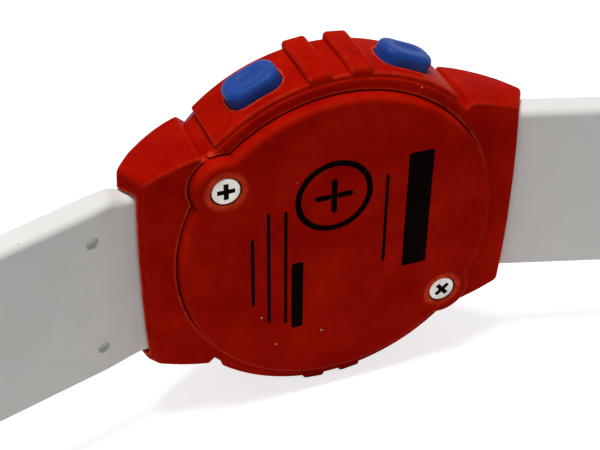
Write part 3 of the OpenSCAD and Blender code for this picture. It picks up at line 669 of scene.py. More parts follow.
def make_lens_clear():
    material, tree, shader = new_material("lens_clear")
    shader.inputs["Base Color"].default_value = (0.97, 0.985, 0.985, 1)
    shader.inputs["Transmission Weight"].default_value = 1
    shader.inputs["IOR"].default_value = ACRYLIC_IOR
    fingers = add_noise(tree, FINGER_SCALE, detail=4, roughness=0.6)
    smears = add_range(tree, fingers, low=0.4, high=0.75, out_low=0.02, out_high=0.10)
    wire(tree, smears, shader.inputs["Roughness"])
    return material


lens_clear = make_lens_clear()
list_finishes()

# %% [markdown]
# ## Plain inner pieces
# Inside the case lie the battery, the circuit board, the display and the small metal parts. They could
# all be modelled again, but nothing of them shows from outside, so they keep their construction shapes.
# Each still gets the finish of its real material.

# %% Finishes for the inner pieces
INNER_FINISHES = {
    "foam_pad": foam, "battery_clip": brass_sheet, "battery": screw_steel, "battery_contact": brass_sheet,
    "spacer_ring": white_plastic, "circuit_board": board_green, "chip_blob": epoxy_black,
    "crystal_can": screw_steel, "module_screws": screw_steel, "lcd_holder": white_plastic,
    "zebra_strips": zebra_rubber, "lcd_panel": display_ground, "dial_mask": dial_print,
    "pusher_clip_2": screw_steel, "pusher_clip_4": screw_steel, "contact_leaf_2": brass_sheet,
    "contact_leaf_4": brass_sheet, "spring_bar_12": screw_steel, "spring_bar_6": screw_steel,
    "buckle_pin": screw_steel,
}
for node, finish in INNER_FINISHES.items():
    materials = frame["nodes"][node].data.materials
    materials.clear()
    materials.append(finish)
print("inner pieces finished:", len(INNER_FINISHES))

# %% [markdown]
# ## The case
# The case is one red moulding: a round barrel, two raised pads with ribs, and a wedge-shaped lug at each
# end. It could be pulled out of one block, face by face, but the round and the straight forms would spoil
# each other's faces. So each outer form is shaped and rounded by itself, all are fused into one shell,
# and only then are the rooms for the case back, the strap and the pushers cut. The barrel comes first: a
# turned ring with a seat for the bezel, a seat for the lens and a ledge above the dial.

# %% Barrel
FINE_TURN = 192
CASE_R = 17.4
RIM_Y = 1.3
WALL_TOP = 7.9
BORE_R = 13
SEAT_R = 16.3
SEAT_Y = 9.7
LENS_SEAT_R = 13.4
LENS_SEAT_Y = 9.5
LEDGE_R = 11.4
DIAL_Y = 8.7


def make_barrel():
    profile = rounded([
        (BORE_R, RIM_Y, 0), (CASE_R, RIM_Y, 0.35), (CASE_R, WALL_TOP, 0.5), (SEAT_R, SEAT_Y, 0.25),
        (LENS_SEAT_R, SEAT_Y, 0), (LENS_SEAT_R, LENS_SEAT_Y, 0), (LEDGE_R, LENS_SEAT_Y, 0.1),
        (LEDGE_R, DIAL_Y, 0), (BORE_R, DIAL_Y, 0)])
    return turned(profile, FINE_TURN)


barrel = make_barrel()
print("barrel:", len(barrel.faces), "faces")

# %% [markdown]
# ### Raised pads
# On the 3 and 9 o'clock sides the wall is a little thicker, and the pushers sit in that pad. It could be
# cut from a second, larger ring. A section that is spun through part of a turn gives the same pad, with
# two end faces whose edges the bevel can round.

# %% Raised pads
PARTING_Y = 4.1
LAND_R = 17.95
LAND_IN = 16.4
LAND_HALF = 42.5
LAND_STEP = 0.15
LAND_RISE = 0.5
LAND_DRAFT = 0.17
LAND_ROUND = 0.3
LAND_TURN = 56


def make_land():
    """The raised pad on the 3 o'clock side."""
    low, top = RIM_Y + LAND_STEP, WALL_TOP + LAND_RISE
    section = rounded([(LAND_IN, low, 0), (LAND_R - LAND_DRAFT, low, 0.22), (LAND_R, PARTING_Y, 0),
                       (LAND_R, top, 0.5), (LAND_IN, top, 0)])
    bm = bmesh.new()
    start = clock(90 - LAND_HALF)
    face = bm.faces.new([bm.verts.new(start @ Vector((r, y, 0))) for r, y in section])
    bmesh.ops.spin(bm, geom=[face], cent=(0, 0, 0), axis=(0, -1, 0), angle=math.radians(2 * LAND_HALF),
                   steps=LAND_TURN)
    bmesh.ops.recalc_face_normals(bm, faces=bm.faces)
    return soften(bm, LAND_ROUND, segments=4, sharper_than=60)


lands = [make_land(), moved(make_land(), clock(180))]
print("pads:", [len(land.faces) for land in lands], "faces")

# %% [markdown]
# ### Ribs
# Between the two pushers stand two ribs for the thumb, and two more on the far side. An array on a curve
# could repeat them, but four copies of one short prism, each turned to its angle, are easier to read. The
# rib starts from plain corners, because the bevel shrinks all over where an outline already has short
# edges.

# %% Ribs
DRAFT = 0.35
RIB_R = 18.6
RIB_IN = 16
RIB_W = 2.4
RIB_ANGLE = 6.4
RIB_ROUND = 0.42
RIB_STEP = 0.12
RIB_RISE = 0.62


def make_rib(angle):
    low, top = RIM_Y + RIB_STEP, WALL_TOP + RIB_RISE
    outline = [(RIB_IN, low), (RIB_R - DRAFT, low), (RIB_R, PARTING_Y), (RIB_R, top), (RIB_IN, top)]
    rib = prism(outline, -RIB_W / 2, RIB_W / 2, "Z")
    return moved(soften(rib, RIB_ROUND, segments=5, sharper_than=60), clock(angle))


ribs = [make_rib(middle + turn) for middle in (90, 270) for turn in (-RIB_ANGLE, RIB_ANGLE)]
print("ribs:", [len(rib.faces) for rib in ribs], "faces")

# %% [markdown]
# ### Lugs
# A lug is a wedge that falls from the case to the strap: its back slopes, its sides have a slight belly,
# its end a slight bow, and its dial side a crown. Loops bridged from depth to depth would need matching
# points. We place the points of four such outlines and let a convex hull find the faces, since a lug has
# no hollows of its own.

# %% Outlines of a lug
LUG_REACH = 20.7
LUG_ROOT_X = 13.4
LUG_ROOT_HALF = 12.6
LUG_TIP_HALF = 11.05
LUG_INSIDE = (8, 7.5)
LUG_TOP = 8.85
LUG_END_TOP = 4.95
LUG_END_IN = 0.45
LUG_BELLY = 0.15
LUG_CROWN = 0.5
LUG_BOW = 0.4
LUG_CORNER = 0.3
CORNER_X = LUG_REACH - LUG_BOW


def lug_half(t):
    """Half of a lug's width, from its root (0) to its tip (1)."""
    return LUG_ROOT_HALF + t * (LUG_TIP_HALF - LUG_ROOT_HALF) + 4 * t * (1 - t) * LUG_BELLY


def lug_points(inset, end_inset, y):
    """The outline of a lug at one depth."""
    half = [LUG_INSIDE]
    for i in range(5):
        t = i / 4
        side_x = LUG_ROOT_X + t * (CORNER_X - LUG_CORNER - end_inset - LUG_ROOT_X)
        half.append((side_x, lug_half(t) - inset))
    flat = LUG_TIP_HALF - LUG_CORNER - inset
    half += [(LUG_REACH - LUG_BOW * t * t - end_inset, flat * t) for t in (1, 0.75, 0.5, 0.25)]
    return [(x, y, side * z) for x, z in half for side in (1, -1)]


def lug_crest():
    """The dial side of a lug, which falls in a curve from the case to the lug's end."""
    points = [(LUG_INSIDE[0], LUG_TOP, LUG_INSIDE[1])]
    for i in range(5):
        t = i / 5
        x = LUG_ROOT_X + t * (CORNER_X - LUG_END_IN - LUG_ROOT_X)
        y = LUG_TOP + t * (LUG_END_TOP - LUG_TOP) + 4 * t * (1 - t) * LUG_CROWN
        points.append((x, y, lug_half(t) - DRAFT * (y - PARTING_Y) / (LUG_TOP - PARTING_Y)))
    return points + [(x, y, -z) for x, y, z in points]


print(f"a lug is {2 * lug_half(0):.1f} mm wide at its root and {2 * lug_half(1):.1f} mm at its tip")

# %% Two lugs
LUG_SLOPE = 1.75
LUG_PROUD = 0.02
LUG_ROUND = 0.25
CORE_R = 15.4
CORE_LOW = -2
CORE_HIGH = 12


def make_lug(side):
    """A lug on the 12 o'clock side (1) or the 6 o'clock side (-1), without the part inside the barrel."""
    bm = bmesh.new()
    places = lug_points(DRAFT, LUG_SLOPE, RIM_Y - LUG_PROUD) + lug_points(0, 0, PARTING_Y)
    places += lug_points(DRAFT / 4, LUG_END_IN, LUG_END_TOP) + lug_crest()
    verts = [bm.verts.new(p) for p in places]
    hull = bmesh.ops.convex_hull(bm, input=verts)
    spare = {v for v in hull["geom_interior"] + hull["geom_unused"] if isinstance(v, bmesh.types.BMVert)}
    bmesh.ops.delete(bm, geom=list(spare), context="VERTS")
    bmesh.ops.dissolve_limit(bm, angle_limit=math.radians(0.5), verts=bm.verts, edges=bm.edges)
    bmesh.ops.recalc_face_normals(bm, faces=bm.faces)
    soften(bm, LUG_ROUND, segments=4, sharper_than=20)
    core = turned([(0, CORE_LOW), (CORE_R, CORE_LOW), (CORE_R, CORE_HIGH), (0, CORE_HIGH)], FINE_TURN)
    lug = carve(bm, core)
    if side < 0:
        moved(lug, Matrix.Rotation(math.pi, 4, "Y"))
    return lug


lugs = [make_lug(1), make_lug(-1)]
print("lugs:", [len(lug.faces) for lug in lugs], "faces")

# %% [markdown]
# ### Rooms in the case
# The case back lies in a round recess with two round bays for its ears. Each strap end turns on a spring
# bar in a slot, which is round about the bar and opens to both sides of the strap's swing. On the 6
# o'clock side the slot is a little narrower, and one prong has lost a corner. Each pusher has a pocket
# and a bore. All of these could be left open in the outer forms, but as cutters they can cross several
# forms in one go.

# %% Rooms for the case back
BACK_R = 16
BACK_GAP = 0.2
FLOOR_Y = 1.9
OUTSIDE = -1
EAR_R = 3.1
EAR_PITCH = 14.5
EAR_ANGLES = (142, 322)


def on_ear(bm, angle):
    """Moves a piece from the middle of the watch to an ear of the case back."""
    return moved(bm, clock(angle) @ Matrix.Translation((EAR_PITCH, 0, 0)))


def round_room(r, steps=SMALL_TURN):
    """A round cutter from outside the case to the floor of the recess."""
    wide = r + BACK_GAP
    return turned([(0, OUTSIDE), (wide, OUTSIDE), (wide, FLOOR_Y), (0, FLOOR_Y)], steps)


back_rooms = [round_room(BACK_R, FINE_TURN)] + [on_ear(round_room(EAR_R), angle) for angle in EAR_ANGLES]
print("rooms for the case back:", len(back_rooms))

# %% Rooms for the strap ends
STRAP_HALF = 9.65
STRAP_T = 2.9
STRAP_GAP = 0.2
ROLL_R = 1.7
SLOT_R = ROLL_R + 0.3
SLOT_LOW = -STRAP_HALF - STRAP_GAP
SLOT_TOPS = {1: STRAP_HALF + STRAP_GAP, -1: 9.05}
MOUTH_HALF = STRAP_T / 2 + STRAP_GAP
MOUTH_BACKS = {1: MOUTH_HALF, -1: 1.38}
MOUTH_LEN = 5
OPEN_ANGLE = 8
CLOSED_ANGLE = -19


def slot_cutter(side):
    """The room for a strap end, on the 12 o'clock side (1) or the 6 o'clock side (-1)."""
    dial_turn = math.degrees(math.asin(MOUTH_HALF / SLOT_R))
    back_turn = math.degrees(math.asin(MOUTH_BACKS[side] / SLOT_R))
    back = arc((0, 0), SLOT_R, OPEN_ANGLE + dial_turn, 360 + CLOSED_ANGLE - back_turn, 24)
    low_end = polar(MOUTH_LEN, CLOSED_ANGLE) + polar(MOUTH_BACKS[side], CLOSED_ANGLE - 90)
    high_end = polar(MOUTH_LEN, OPEN_ANGLE) + polar(MOUTH_HALF, OPEN_ANGLE + 90)
    outline = [(side * (bar.x + p.x), bar.y + p.y) for p in back + [low_end, high_end]]
    return prism(outline, SLOT_LOW, SLOT_TOPS[side], "Z")


slots = [slot_cutter(1), slot_cutter(-1)]
widths = [round(top - SLOT_LOW, 2) for top in SLOT_TOPS.values()]
print(f"slots of {SLOT_R:.1f} mm radius, {widths} mm wide")

# %% The trimmed prong
PRONG_X = -LUG_REACH
PRONG_Z = -8.5
PRONG_IN = 2.2
PRONG_DOWN = 3.0
PRONG_PAST = 3


def prong_cutter():
    """The corner that is missing from the lower prong on the 6 o'clock side."""
    low = PRONG_Z - PRONG_DOWN
    outline = [(PRONG_X, PRONG_Z), (PRONG_X + PRONG_IN, low), (PRONG_X - PRONG_PAST, low),
               (PRONG_X - PRONG_PAST, PRONG_Z)]
    return prism(outline, OUTSIDE, CORE_HIGH, "Y")


trim = prong_cutter()
print(f"the prong loses a corner of {PRONG_IN} by {PRONG_DOWN} mm")

# %% Rooms for the pushers
PUSHER_Y = 4.6
PUSHER_ANGLES = {"2": 66, "4": 114}
CAP_LEN = 5.35
CAP_W = 3.7
CAP_CORNER = 1.5
POCKET_GAP = 0.1
POCKET_FLOOR = 16.45
POCKET_END = 22
STEM_R = 0.9
STEM_GAP = 0.06
BORE_START = 10
BORE_END = POCKET_FLOOR + 0.5
TO_X = Matrix.Rotation(-math.pi / 2, 4, "Z")


def cap_outline(grow):
    """A pusher cap's outline across its axis: depth first, then along the wall."""
    y, z, r = CAP_W / 2 + grow, CAP_LEN / 2 + grow, CAP_CORNER + grow
    return rounded([(-y, -z, r), (y, -z, r), (y, z, r), (-y, z, r)], 8)


def on_pusher(bm, angle):
    """Moves a piece drawn along X onto a pusher's axis."""
    return moved(bm, clock(angle) @ Matrix.Translation((0, PUSHER_Y, 0)))


def pusher_cutters():
    """A pocket for each cap and a bore for each stem."""
    wide = STEM_R + STEM_GAP
    bore = [(0, BORE_START), (wide, BORE_START), (wide, BORE_END), (0, BORE_END)]
    angles = PUSHER_ANGLES.values()
    pockets = [on_pusher(prism(cap_outline(POCKET_GAP), POCKET_FLOOR, POCKET_END, "X"), a) for a in angles]
    return pockets + [on_pusher(moved(turned(bore), TO_X), a) for a in angles]


pusher_rooms = pusher_cutters()
print("rooms for the pushers:", len(pusher_rooms))

# %% The whole case
case_form = fused(barrel, *lugs, *lands, *ribs)
rooms = [*back_rooms, *slots, trim, *pusher_rooms]
print("rooms to cut:", len(rooms))
place("case_shell", carve(case_form, *rooms), red_plastic, "case", "red_plastic", "case_body")

# %% [markdown]
# ## The case back
# The case back is a thick round plate with two ears. Each ear has a shallow dish with a screw in it, and
# a low lip stands round the screw. A disc fused with two small discs would make the plate, but one run of
# arcs gives a clean edge for the bevel to follow. The lips are turned rings set into the dishes.

# %% Case back outline
def back_outline():
    """The plate's outline: large arcs between the two ears."""
    reach = (EAR_PITCH ** 2 + BACK_R ** 2 - EAR_R ** 2) / (2 * EAR_PITCH * BACK_R)
    gap = math.degrees(math.acos(reach))
    spread = math.degrees(math.acos((BACK_R * reach - EAR_PITCH) / EAR_R))
    points = []
    for angle in EAR_ANGLES:
        points += arc(polar(EAR_PITCH, angle), EAR_R, angle - spread, angle + spread, 20)
        points += arc((0, 0), BACK_R, angle + gap, angle + 180 - gap, 90)[1:-1]
    return points


print("case back outline:", len(back_outline()), "points")

# %% Case back
BACK_ROUND = 0.55
DISH_R = 2.0
HEAD_R = 1.4
HEAD_SINK = 0.12
HEAD_T = 0.8
HEAD_END = HEAD_SINK + HEAD_T
BED_R = HEAD_R + 0.1
SHANK_HOLE_R = 0.76
SHANK_HOLE_END = 3
LIP_FOOT = 0.5


def make_case_back():
    plate = prism(back_outline(), 0, FLOOR_Y, "Y")
    soften(plate, BACK_ROUND, segments=5, sharper_than=45, where=lambda p: p.y < 0.1)
    slope = [(DISH_R + 0.25, -0.01), (DISH_R + 0.1, 0.02), (DISH_R, 0.08), (BED_R, 0.16)]
    bed = [(0, OUTSIDE), (DISH_R + 0.25, OUTSIDE), *slope, (BED_R, HEAD_END), (SHANK_HOLE_R, HEAD_END),
           (SHANK_HOLE_R, SHANK_HOLE_END), (0, SHANK_HOLE_END)]
    lip = rounded([(BED_R, LIP_FOOT, 0), (BED_R, 0.05, 0.08), (HEAD_R + 0.5, 0, 0.2),
                   (HEAD_R + 0.65, LIP_FOOT, 0)])
    beds = [on_ear(turned(bed), angle) for angle in EAR_ANGLES]
    lips = [on_ear(turned(lip), angle) for angle in EAR_ANGLES]
    # The lips overlap the plate, so the edge mask also pales a ring round each screw: a painted highlight.
    return joined(carve(plate, *beds), *lips)


place("case_back_plate", make_case_back(), red_plastic, "case", "red_plastic", "case_back")

# %% [markdown]
# ## Case screws
# Two small steel screws with a cross recess hold the back. A bump could fake the cross, but seen from
# close by it must have depth, so two bars are cut out of a turned head. The faces inside the cross get a
# second, dark finish: some grime, and painted shade for the shadow that falls in the recess.

# %% Case screws
SHANK_R = 0.7
SHANK_END = 4.8
CROSS_LEN = 1.7
CROSS_W = 0.48
CROSS_DEPTH = 0.6
CROSS_TURNS = (0, 40)


def make_screw(angle, cross_turn):
    profile = rounded([(0, HEAD_SINK, 0), (HEAD_R, HEAD_SINK + 0.03, 0.14), (HEAD_R, HEAD_END, 0),
                       (SHANK_R, HEAD_END, 0), (SHANK_R, SHANK_END, 0.1), (0, SHANK_END + 0.07, 0)])
    half, width = CROSS_LEN / 2, CROSS_W / 2
    arm = [(-half, -width), (half, -width), (half, width), (-half, width)]
    cuts = [moved(prism(arm, OUTSIDE, HEAD_SINK + CROSS_DEPTH, "Y"), clock(turn + cross_turn - angle))
            for turn in (0, 90)]
    head = carve(turned(profile), *cuts)
    # Faces inside the cross take the second finish: grime and painted shade.
    for face in head.faces:
        middle = face.calc_center_median()
        sunk = HEAD_SINK + 0.1 < middle.y < HEAD_SINK + CROSS_DEPTH + 0.05
        face.material_index = int(sunk and math.hypot(middle.x, middle.z) < CROSS_LEN / 2 + 0.05)
    return on_ear(head, angle)


screws = joined(*[make_screw(angle, turn) for angle, turn in zip(EAR_ANGLES, CROSS_TURNS)])
case_screws = place("case_screw_pair", screws, screw_steel, "case", "steel", "case_screws")
# The second finish is grime with painted shade in the cross recess.
case_screws.data.materials.append(screw_grime_and_shade)

# %% [markdown]
# ## Marks on the case back
# The back carries plain black marks: rules, two bars, and a plus in a ring for the battery's side. Ink
# could be a mask in the red material, but a mask has soft edges unless it is very fine. Thin shapes set
# into the plate's face stay crisp from any distance.

# %% Marks
INK_LOW = -0.02
INK_HIGH = 0.04
INK_CORNER = 0.3
RULE_HALF = 0.16
RULES = [(-5.8, -8.2, 5.4), (-7.5, -7.6, 5.6), (-9.1, -5.0, 3.0), (4.4, -3.2, 7.2)]
BARS = [(7.8, 1.3, -4.4, 9.0), (-4.6, 0.6, -9.0, -0.9)]
RING_IN = 3.3
RING_OUT = 3.9
RING_PLACE = (-1.0, 0, 6.0)
PLUS_HALF = 0.3
PLUS_REACH = 1.9
PLUS_ARM = 1.6


def flat_bar(x, half, low, high):
    """A bar along Z at one x."""
    corner = min(half, INK_CORNER)
    outline = rounded([(x - half, low, corner), (x + half, low, corner), (x + half, high, corner),
                       (x - half, high, corner)])
    return prism(outline, INK_LOW, INK_HIGH, "Y")


def make_marks():
    shapes = [flat_bar(x, RULE_HALF, low, high) for x, low, high in RULES]
    shapes += [flat_bar(*sizes) for sizes in BARS]
    ring = turned([(RING_IN, INK_LOW), (RING_OUT, INK_LOW), (RING_OUT, INK_HIGH), (RING_IN, INK_HIGH)])
    upright = flat_bar(0, PLUS_HALF, -PLUS_REACH, PLUS_REACH)
    starts = (-PLUS_REACH, PLUS_HALF)
    level = [moved(flat_bar(0, PLUS_HALF, low, low + PLUS_ARM), clock(90)) for low in starts]
    shapes += [shifted(shape, *RING_PLACE) for shape in [ring, upright] + level]
    return joined(*shapes)


place("back_marks", make_marks(), black_ink, "case", "dial_print")

# %% [markdown]
# ## Pushers
# A pusher is a blue cap with a finger dish, on a stem that runs through the case wall to a clip. A
# subdivided cube would give a soft cap but no exact outline, and the cap has to fit its pocket. So the
# outline is pushed out, its outer edge is rounded, and a stretched ball cuts the dish.

# %% Pushers
CAP_BASE = 17.35
CAP_TOP = 19.15
CAP_ROUND = 0.6
BALL = (1.4, 1.75, 3.0)
BALL_SINK = 0.24
STEM_END = 12.3
CLIP_LOW = 12.75
CLIP_HIGH = 13.05
CLIP_R = 0.55


def make_pusher(angle):
    cap = prism(cap_outline(0), CAP_BASE, CAP_TOP, "X")
    soften(cap, CAP_ROUND, segments=6, sharper_than=45, where=lambda p: p.x > CAP_TOP - 0.1)
    ball = bmesh.new()
    bmesh.ops.create_uvsphere(ball, u_segments=48, v_segments=24, radius=1)
    moved(ball, Matrix.Translation((CAP_TOP + BALL[0] - BALL_SINK, 0, 0)) @ Matrix.Diagonal((*BALL, 1)))
    cap = carve(cap, ball)
    top = CAP_BASE + 0.2
    stem = turned(rounded([
        (0, STEM_END, 0), (STEM_R, STEM_END, 0.1), (STEM_R, CLIP_LOW, 0), (CLIP_R, CLIP_LOW, 0),
        (CLIP_R, CLIP_HIGH, 0), (STEM_R, CLIP_HIGH, 0), (STEM_R, top, 0), (0, top, 0)]))
    return on_pusher(joined(cap, moved(stem, TO_X)), angle)


for hour, angle in PUSHER_ANGLES.items():
    name = f"pusher_{hour}"
    place(f"pusher_cap_{hour}", make_pusher(angle), blue_plastic, name, "blue_plastic", name)

# %% [markdown]
# ## The strap
# Each strap half is a thick band that leaves the case at an angle, bends round the wrist and runs
# straight to its end. A flat band with a Curve modifier would bend too, but its rolled end and thickness
# would shift. So one outline, drawn from the side, holds the roll, the bend and the tail, and is pushed
# across the strap's width. Its edges are rounded before the holes are cut, so the holes keep a crisp lip.

# %% Strap outline
BEND_R = 19
HOLE_TURN = 48


def bend_middle(run, angle):
    """The middle of a strap half's bend, after a straight run from the bar."""
    return Vector((bar.x, bar.y)) + polar(run, -angle) - polar(BEND_R, 90 - angle)


def strap_outline(run, angle, tail):
    """A strap half from the side, on the 12 o'clock side of the watch, with the points of its tail."""
    middle = bend_middle(run, angle)
    spread = math.degrees(math.asin(STRAP_T / 2 / ROLL_R))
    roll = arc((bar.x, bar.y), ROLL_R, 360 - angle - spread, spread - angle, 24)
    outer = arc(middle, BEND_R + STRAP_T / 2, 90 - angle, 0, 28)
    inner = arc(middle, BEND_R - STRAP_T / 2, 0, 90 - angle, 28)
    return roll + outer + tail + inner


def hole_cutter(r, middle, length, axis):
    """A round pin along X or Z, to cut a hole."""
    pin = turned([(0, -length / 2), (r, -length / 2), (r, length / 2), (0, length / 2)], HOLE_TURN)
    turn = TO_X if axis == "X" else Matrix.Rotation(math.pi / 2, 4, "X")
    return moved(pin, Matrix.Translation(middle) @ turn)


print(f"strap {2 * STRAP_HALF:.1f} mm wide and {STRAP_T} mm thick, bent to a radius of {BEND_R} mm")

# %% [markdown]
# ### The long half
# The long half lies on the 6 o'clock side. It has the holes for the tongue, a rounded tip and two blind
# dimples. Where it leaves the lug it is thinner on the wrist side, with a small shoulder on one edge and
# a small flare on the other. These could be separate cuts, but then each would leave a step. So the band
# is bisected there and its points are moved along smooth curves.

# %% Neck, shoulder and taper of the long half
LONG_ANGLE = 18.5
LONG_RUN = 20
LONG_ROOT_HALF = 9.35
LONG_TAPER = 0.35
RUN_X = bar.x + LONG_RUN * math.cos(math.radians(LONG_ANGLE))
SHOULDER_X = bar.x + 4.6
SHOULDER_LEN = 2.2
SHOULDER_IN = 0.65
NECK_X = bar.x + 6.6
NECK_LEN = 4.4
NECK_IN = 0.45
FLARE_OUT = 0.3


def ease(x, start, length):
    """Rises smoothly from nothing at the start to one, a length nearer to the case."""
    rise = min(max((start - x) / length, 0), 1)
    return (1 - math.cos(math.pi * rise)) / 2


def narrow(band):
    """Gives the band a thin neck at the lug, with a shoulder and a flare, and a slow taper."""
    cuts = [SHOULDER_X - SHOULDER_LEN * i / 8 for i in range(9)]
    cuts += [NECK_X - NECK_LEN * i / 10 for i in range(10)]
    for x in sorted(cuts) + [RUN_X]:
        everything = band.verts[:] + band.edges[:] + band.faces[:]
        bmesh.ops.bisect_plane(band, geom=everything, plane_co=(x, 0, 0), plane_no=(1, 0, 0),
                               dist=SAME_PLACE)
    inward = polar(1, 90 - LONG_ANGLE)
    for vert in band.verts:
        x, y = vert.co.x, vert.co.y
        on_wrist_side = inward.dot((x - bar.x, y - bar.y)) < 0
        half = LONG_ROOT_HALF - LONG_TAPER * min(max((x - NECK_X) / (RUN_X - NECK_X), 0), 1)
        if vert.co.z < 0:
            half -= SHOULDER_IN * ease(x, SHOULDER_X, SHOULDER_LEN)
        else:
            half += FLARE_OUT * ease(x, NECK_X, NECK_LEN)
        vert.co.z = math.copysign(half, vert.co.z)
        if on_wrist_side and NECK_X - NECK_LEN - 0.01 < x < NECK_X:
            vert.co.xy += inward * NECK_IN * ease(x, NECK_X, NECK_LEN)
    return band


print(f"neck from {NECK_X - NECK_LEN:.1f} to {NECK_X:.1f} mm, {STRAP_T - NECK_IN:.2f} mm thick")

# %% The long half
STRAP_ROUND = 0.85
BAR_HOLE_R = 0.7
BAR_HOLE_LEN = 30
LONG_TAIL = 55.5
LONG_HALF = LONG_ROOT_HALF - LONG_TAPER
TIP_R = LONG_HALF + 1.75
TIP_SPREAD = 1.02
HOLE_COUNT = 8
HOLE_R = 1.1
HOLE_LEN = 8
HOLE_PITCH = 4.6
HOLE_START = 9
DIMPLE_R = 0.65
DIMPLE_DEPTH = 0.5
DIMPLE_HALF = 6.1
DIMPLE_RUN = 7.2
PAST = 5


def dimple_cutters():
    """Two blind dimples on the wrist side, near the lug."""
    lie = Matrix.Translation(bar) @ Matrix.Rotation(-math.radians(LONG_ANGLE), 4, "Z")
    dimples = []
    for z in (-DIMPLE_HALF, DIMPLE_HALF):
        dimple = hole_cutter(DIMPLE_R, (0, 0, 0), 2 * DIMPLE_DEPTH, "X")
        moved(dimple, Matrix.Rotation(math.pi / 2, 4, "Z"))
        dimples.append(moved(dimple, lie @ Matrix.Translation((DIMPLE_RUN, -STRAP_T / 2, z))))
    return dimples


def make_strap_long():
    middle = bend_middle(LONG_RUN, LONG_ANGLE)
    x, end = middle.x + BEND_R, middle.y - LONG_TAIL
    tail = [Vector((x + STRAP_T / 2, end)), Vector((x - STRAP_T / 2, end))]
    band = narrow(prism(strap_outline(LONG_RUN, LONG_ANGLE, tail), -STRAP_HALF, STRAP_HALF, "Z"))
    reach = math.degrees(math.asin(LONG_HALF * TIP_SPREAD / TIP_R))
    tip = arc((end + TIP_R, 0), TIP_R, 180 - reach, 180 + reach, 40)
    waste = [(p.x, p.y) for p in tip] + [(end - PAST, -STRAP_HALF - 3), (end - PAST, STRAP_HALF + 3)]
    band = carve(band, prism(waste, x - PAST, x + PAST, "X"))
    soften(band, STRAP_ROUND, segments=5, sharper_than=40)
    spots = [(x, end + HOLE_START + i * HOLE_PITCH, 0) for i in range(HOLE_COUNT)]
    holes = [hole_cutter(HOLE_R, spot, HOLE_LEN, "X") for spot in spots]
    cutters = [hole_cutter(BAR_HOLE_R, bar, BAR_HOLE_LEN, "Z"), *holes, *dimple_cutters()]
    return moved(carve(band, *cutters), Matrix.Rotation(math.pi, 4, "Y"))


place("strap_long_half", make_strap_long(), strap_rubber, "strap_long", "strap", "strap_long")

# %% [markdown]
# ### The short half
# The short half carries the buckle: its far end is rolled round the buckle bar, with a notch in the
# middle for the tongue. It could be a copy of the long half with a new end, but it has no taper and no
# holes, so the same outline function with another tail is less work.

# %% The short half
SHORT_ANGLE = 17
SHORT_RUN = 17
TONGUE_NOTCH = 3.4
NOTCH_TOP = 2.45


def make_strap_short():
    x, y = buckle_bar.x, buckle_bar.y
    spread = math.degrees(math.acos(STRAP_T / 2 / ROLL_R))
    tail = arc((x, y), ROLL_R, spread, -180 - spread, 28)
    band = prism(strap_outline(SHORT_RUN, SHORT_ANGLE, tail), -STRAP_HALF, STRAP_HALF, "Z")
    soften(band, STRAP_ROUND, segments=5, sharper_than=60)
    top = y + NOTCH_TOP
    notch = [(x - PAST, y - PAST), (x + PAST, y - PAST), (x + PAST, top), (x - PAST, top)]
    bars = [hole_cutter(BAR_HOLE_R, middle, BAR_HOLE_LEN, "Z") for middle in (bar, buckle_bar)]
    return carve(band, *bars, prism(notch, -TONGUE_NOTCH / 2, TONGUE_NOTCH / 2, "Z"))


place("strap_short_half", make_strap_short(), strap_rubber, "strap_short", "strap", "strap_short")

# %% [markdown]
# ## The buckle
# The buckle is a steel frame on a bar through the short half's end. Real ones are bent from wire or
# pressed, and a curve with a round section would look like wire. This one is pressed, so a flat outline
# with a window is pushed to its thickness, rounded all over, and bored for the bar.

# %% Buckle frame
BUCKLE_LEN = 9.6
BUCKLE_BAR = 2.0
BUCKLE_T = 2.2
BUCKLE_LOW = -BUCKLE_LEN - BUCKLE_BAR / 2
BUCKLE_HIGH = BUCKLE_T / 2
BUCKLE_INNER = STRAP_HALF + 0.3
BUCKLE_OUTER = BUCKLE_INNER + BUCKLE_BAR
BUCKLE_ROUND = 0.45
BUCKLE_HOLE_LEN = 40


def make_buckle():
    outer = rounded([
        (BUCKLE_LOW, -BUCKLE_OUTER, 1.6), (BUCKLE_HIGH, -BUCKLE_OUTER, 0.9),
        (BUCKLE_HIGH, BUCKLE_OUTER, 0.9), (BUCKLE_LOW, BUCKLE_OUTER, 1.6)], 8)
    low, high = BUCKLE_LOW + BUCKLE_BAR, BUCKLE_HIGH + 3
    window = rounded([(low, -BUCKLE_INNER, 0.7), (high, -BUCKLE_INNER, 0), (high, BUCKLE_INNER, 0),
                      (low, BUCKLE_INNER, 0.7)], 6)
    body = carve(prism(outer, -BUCKLE_T / 2, BUCKLE_T / 2, "X"), prism(window, -PAST, PAST, "X"))
    soften(body, BUCKLE_ROUND, segments=4, sharper_than=50)
    body = carve(body, hole_cutter(BAR_HOLE_R, (0, 0, 0), BUCKLE_HOLE_LEN, "Z"))
    return shifted(body, buckle_bar.x, buckle_bar.y)


place("buckle_frame_bent", make_buckle(), buckle_steel, "buckle", "buckle_metal", "buckle_frame")

# %% [markdown]
# ### The tongue
# The tongue is a narrow steel strip, rolled round the same bar, and it lies on the front of the frame. A
# strip with a Solidify modifier would give it one thickness, but the roll is fuller than the tip. So its
# whole side view is one outline: an arc for the roll, and a blade with rounded ends.

# %% Tongue
TONGUE_ROLL = 1.4
TONGUE_T = 1.0
TONGUE_HALF = 1.0
TONGUE_ROUND = 0.25
TONGUE_HOLE_LEN = 10
TONGUE_RISE = BUCKLE_T / 2 + 0.05


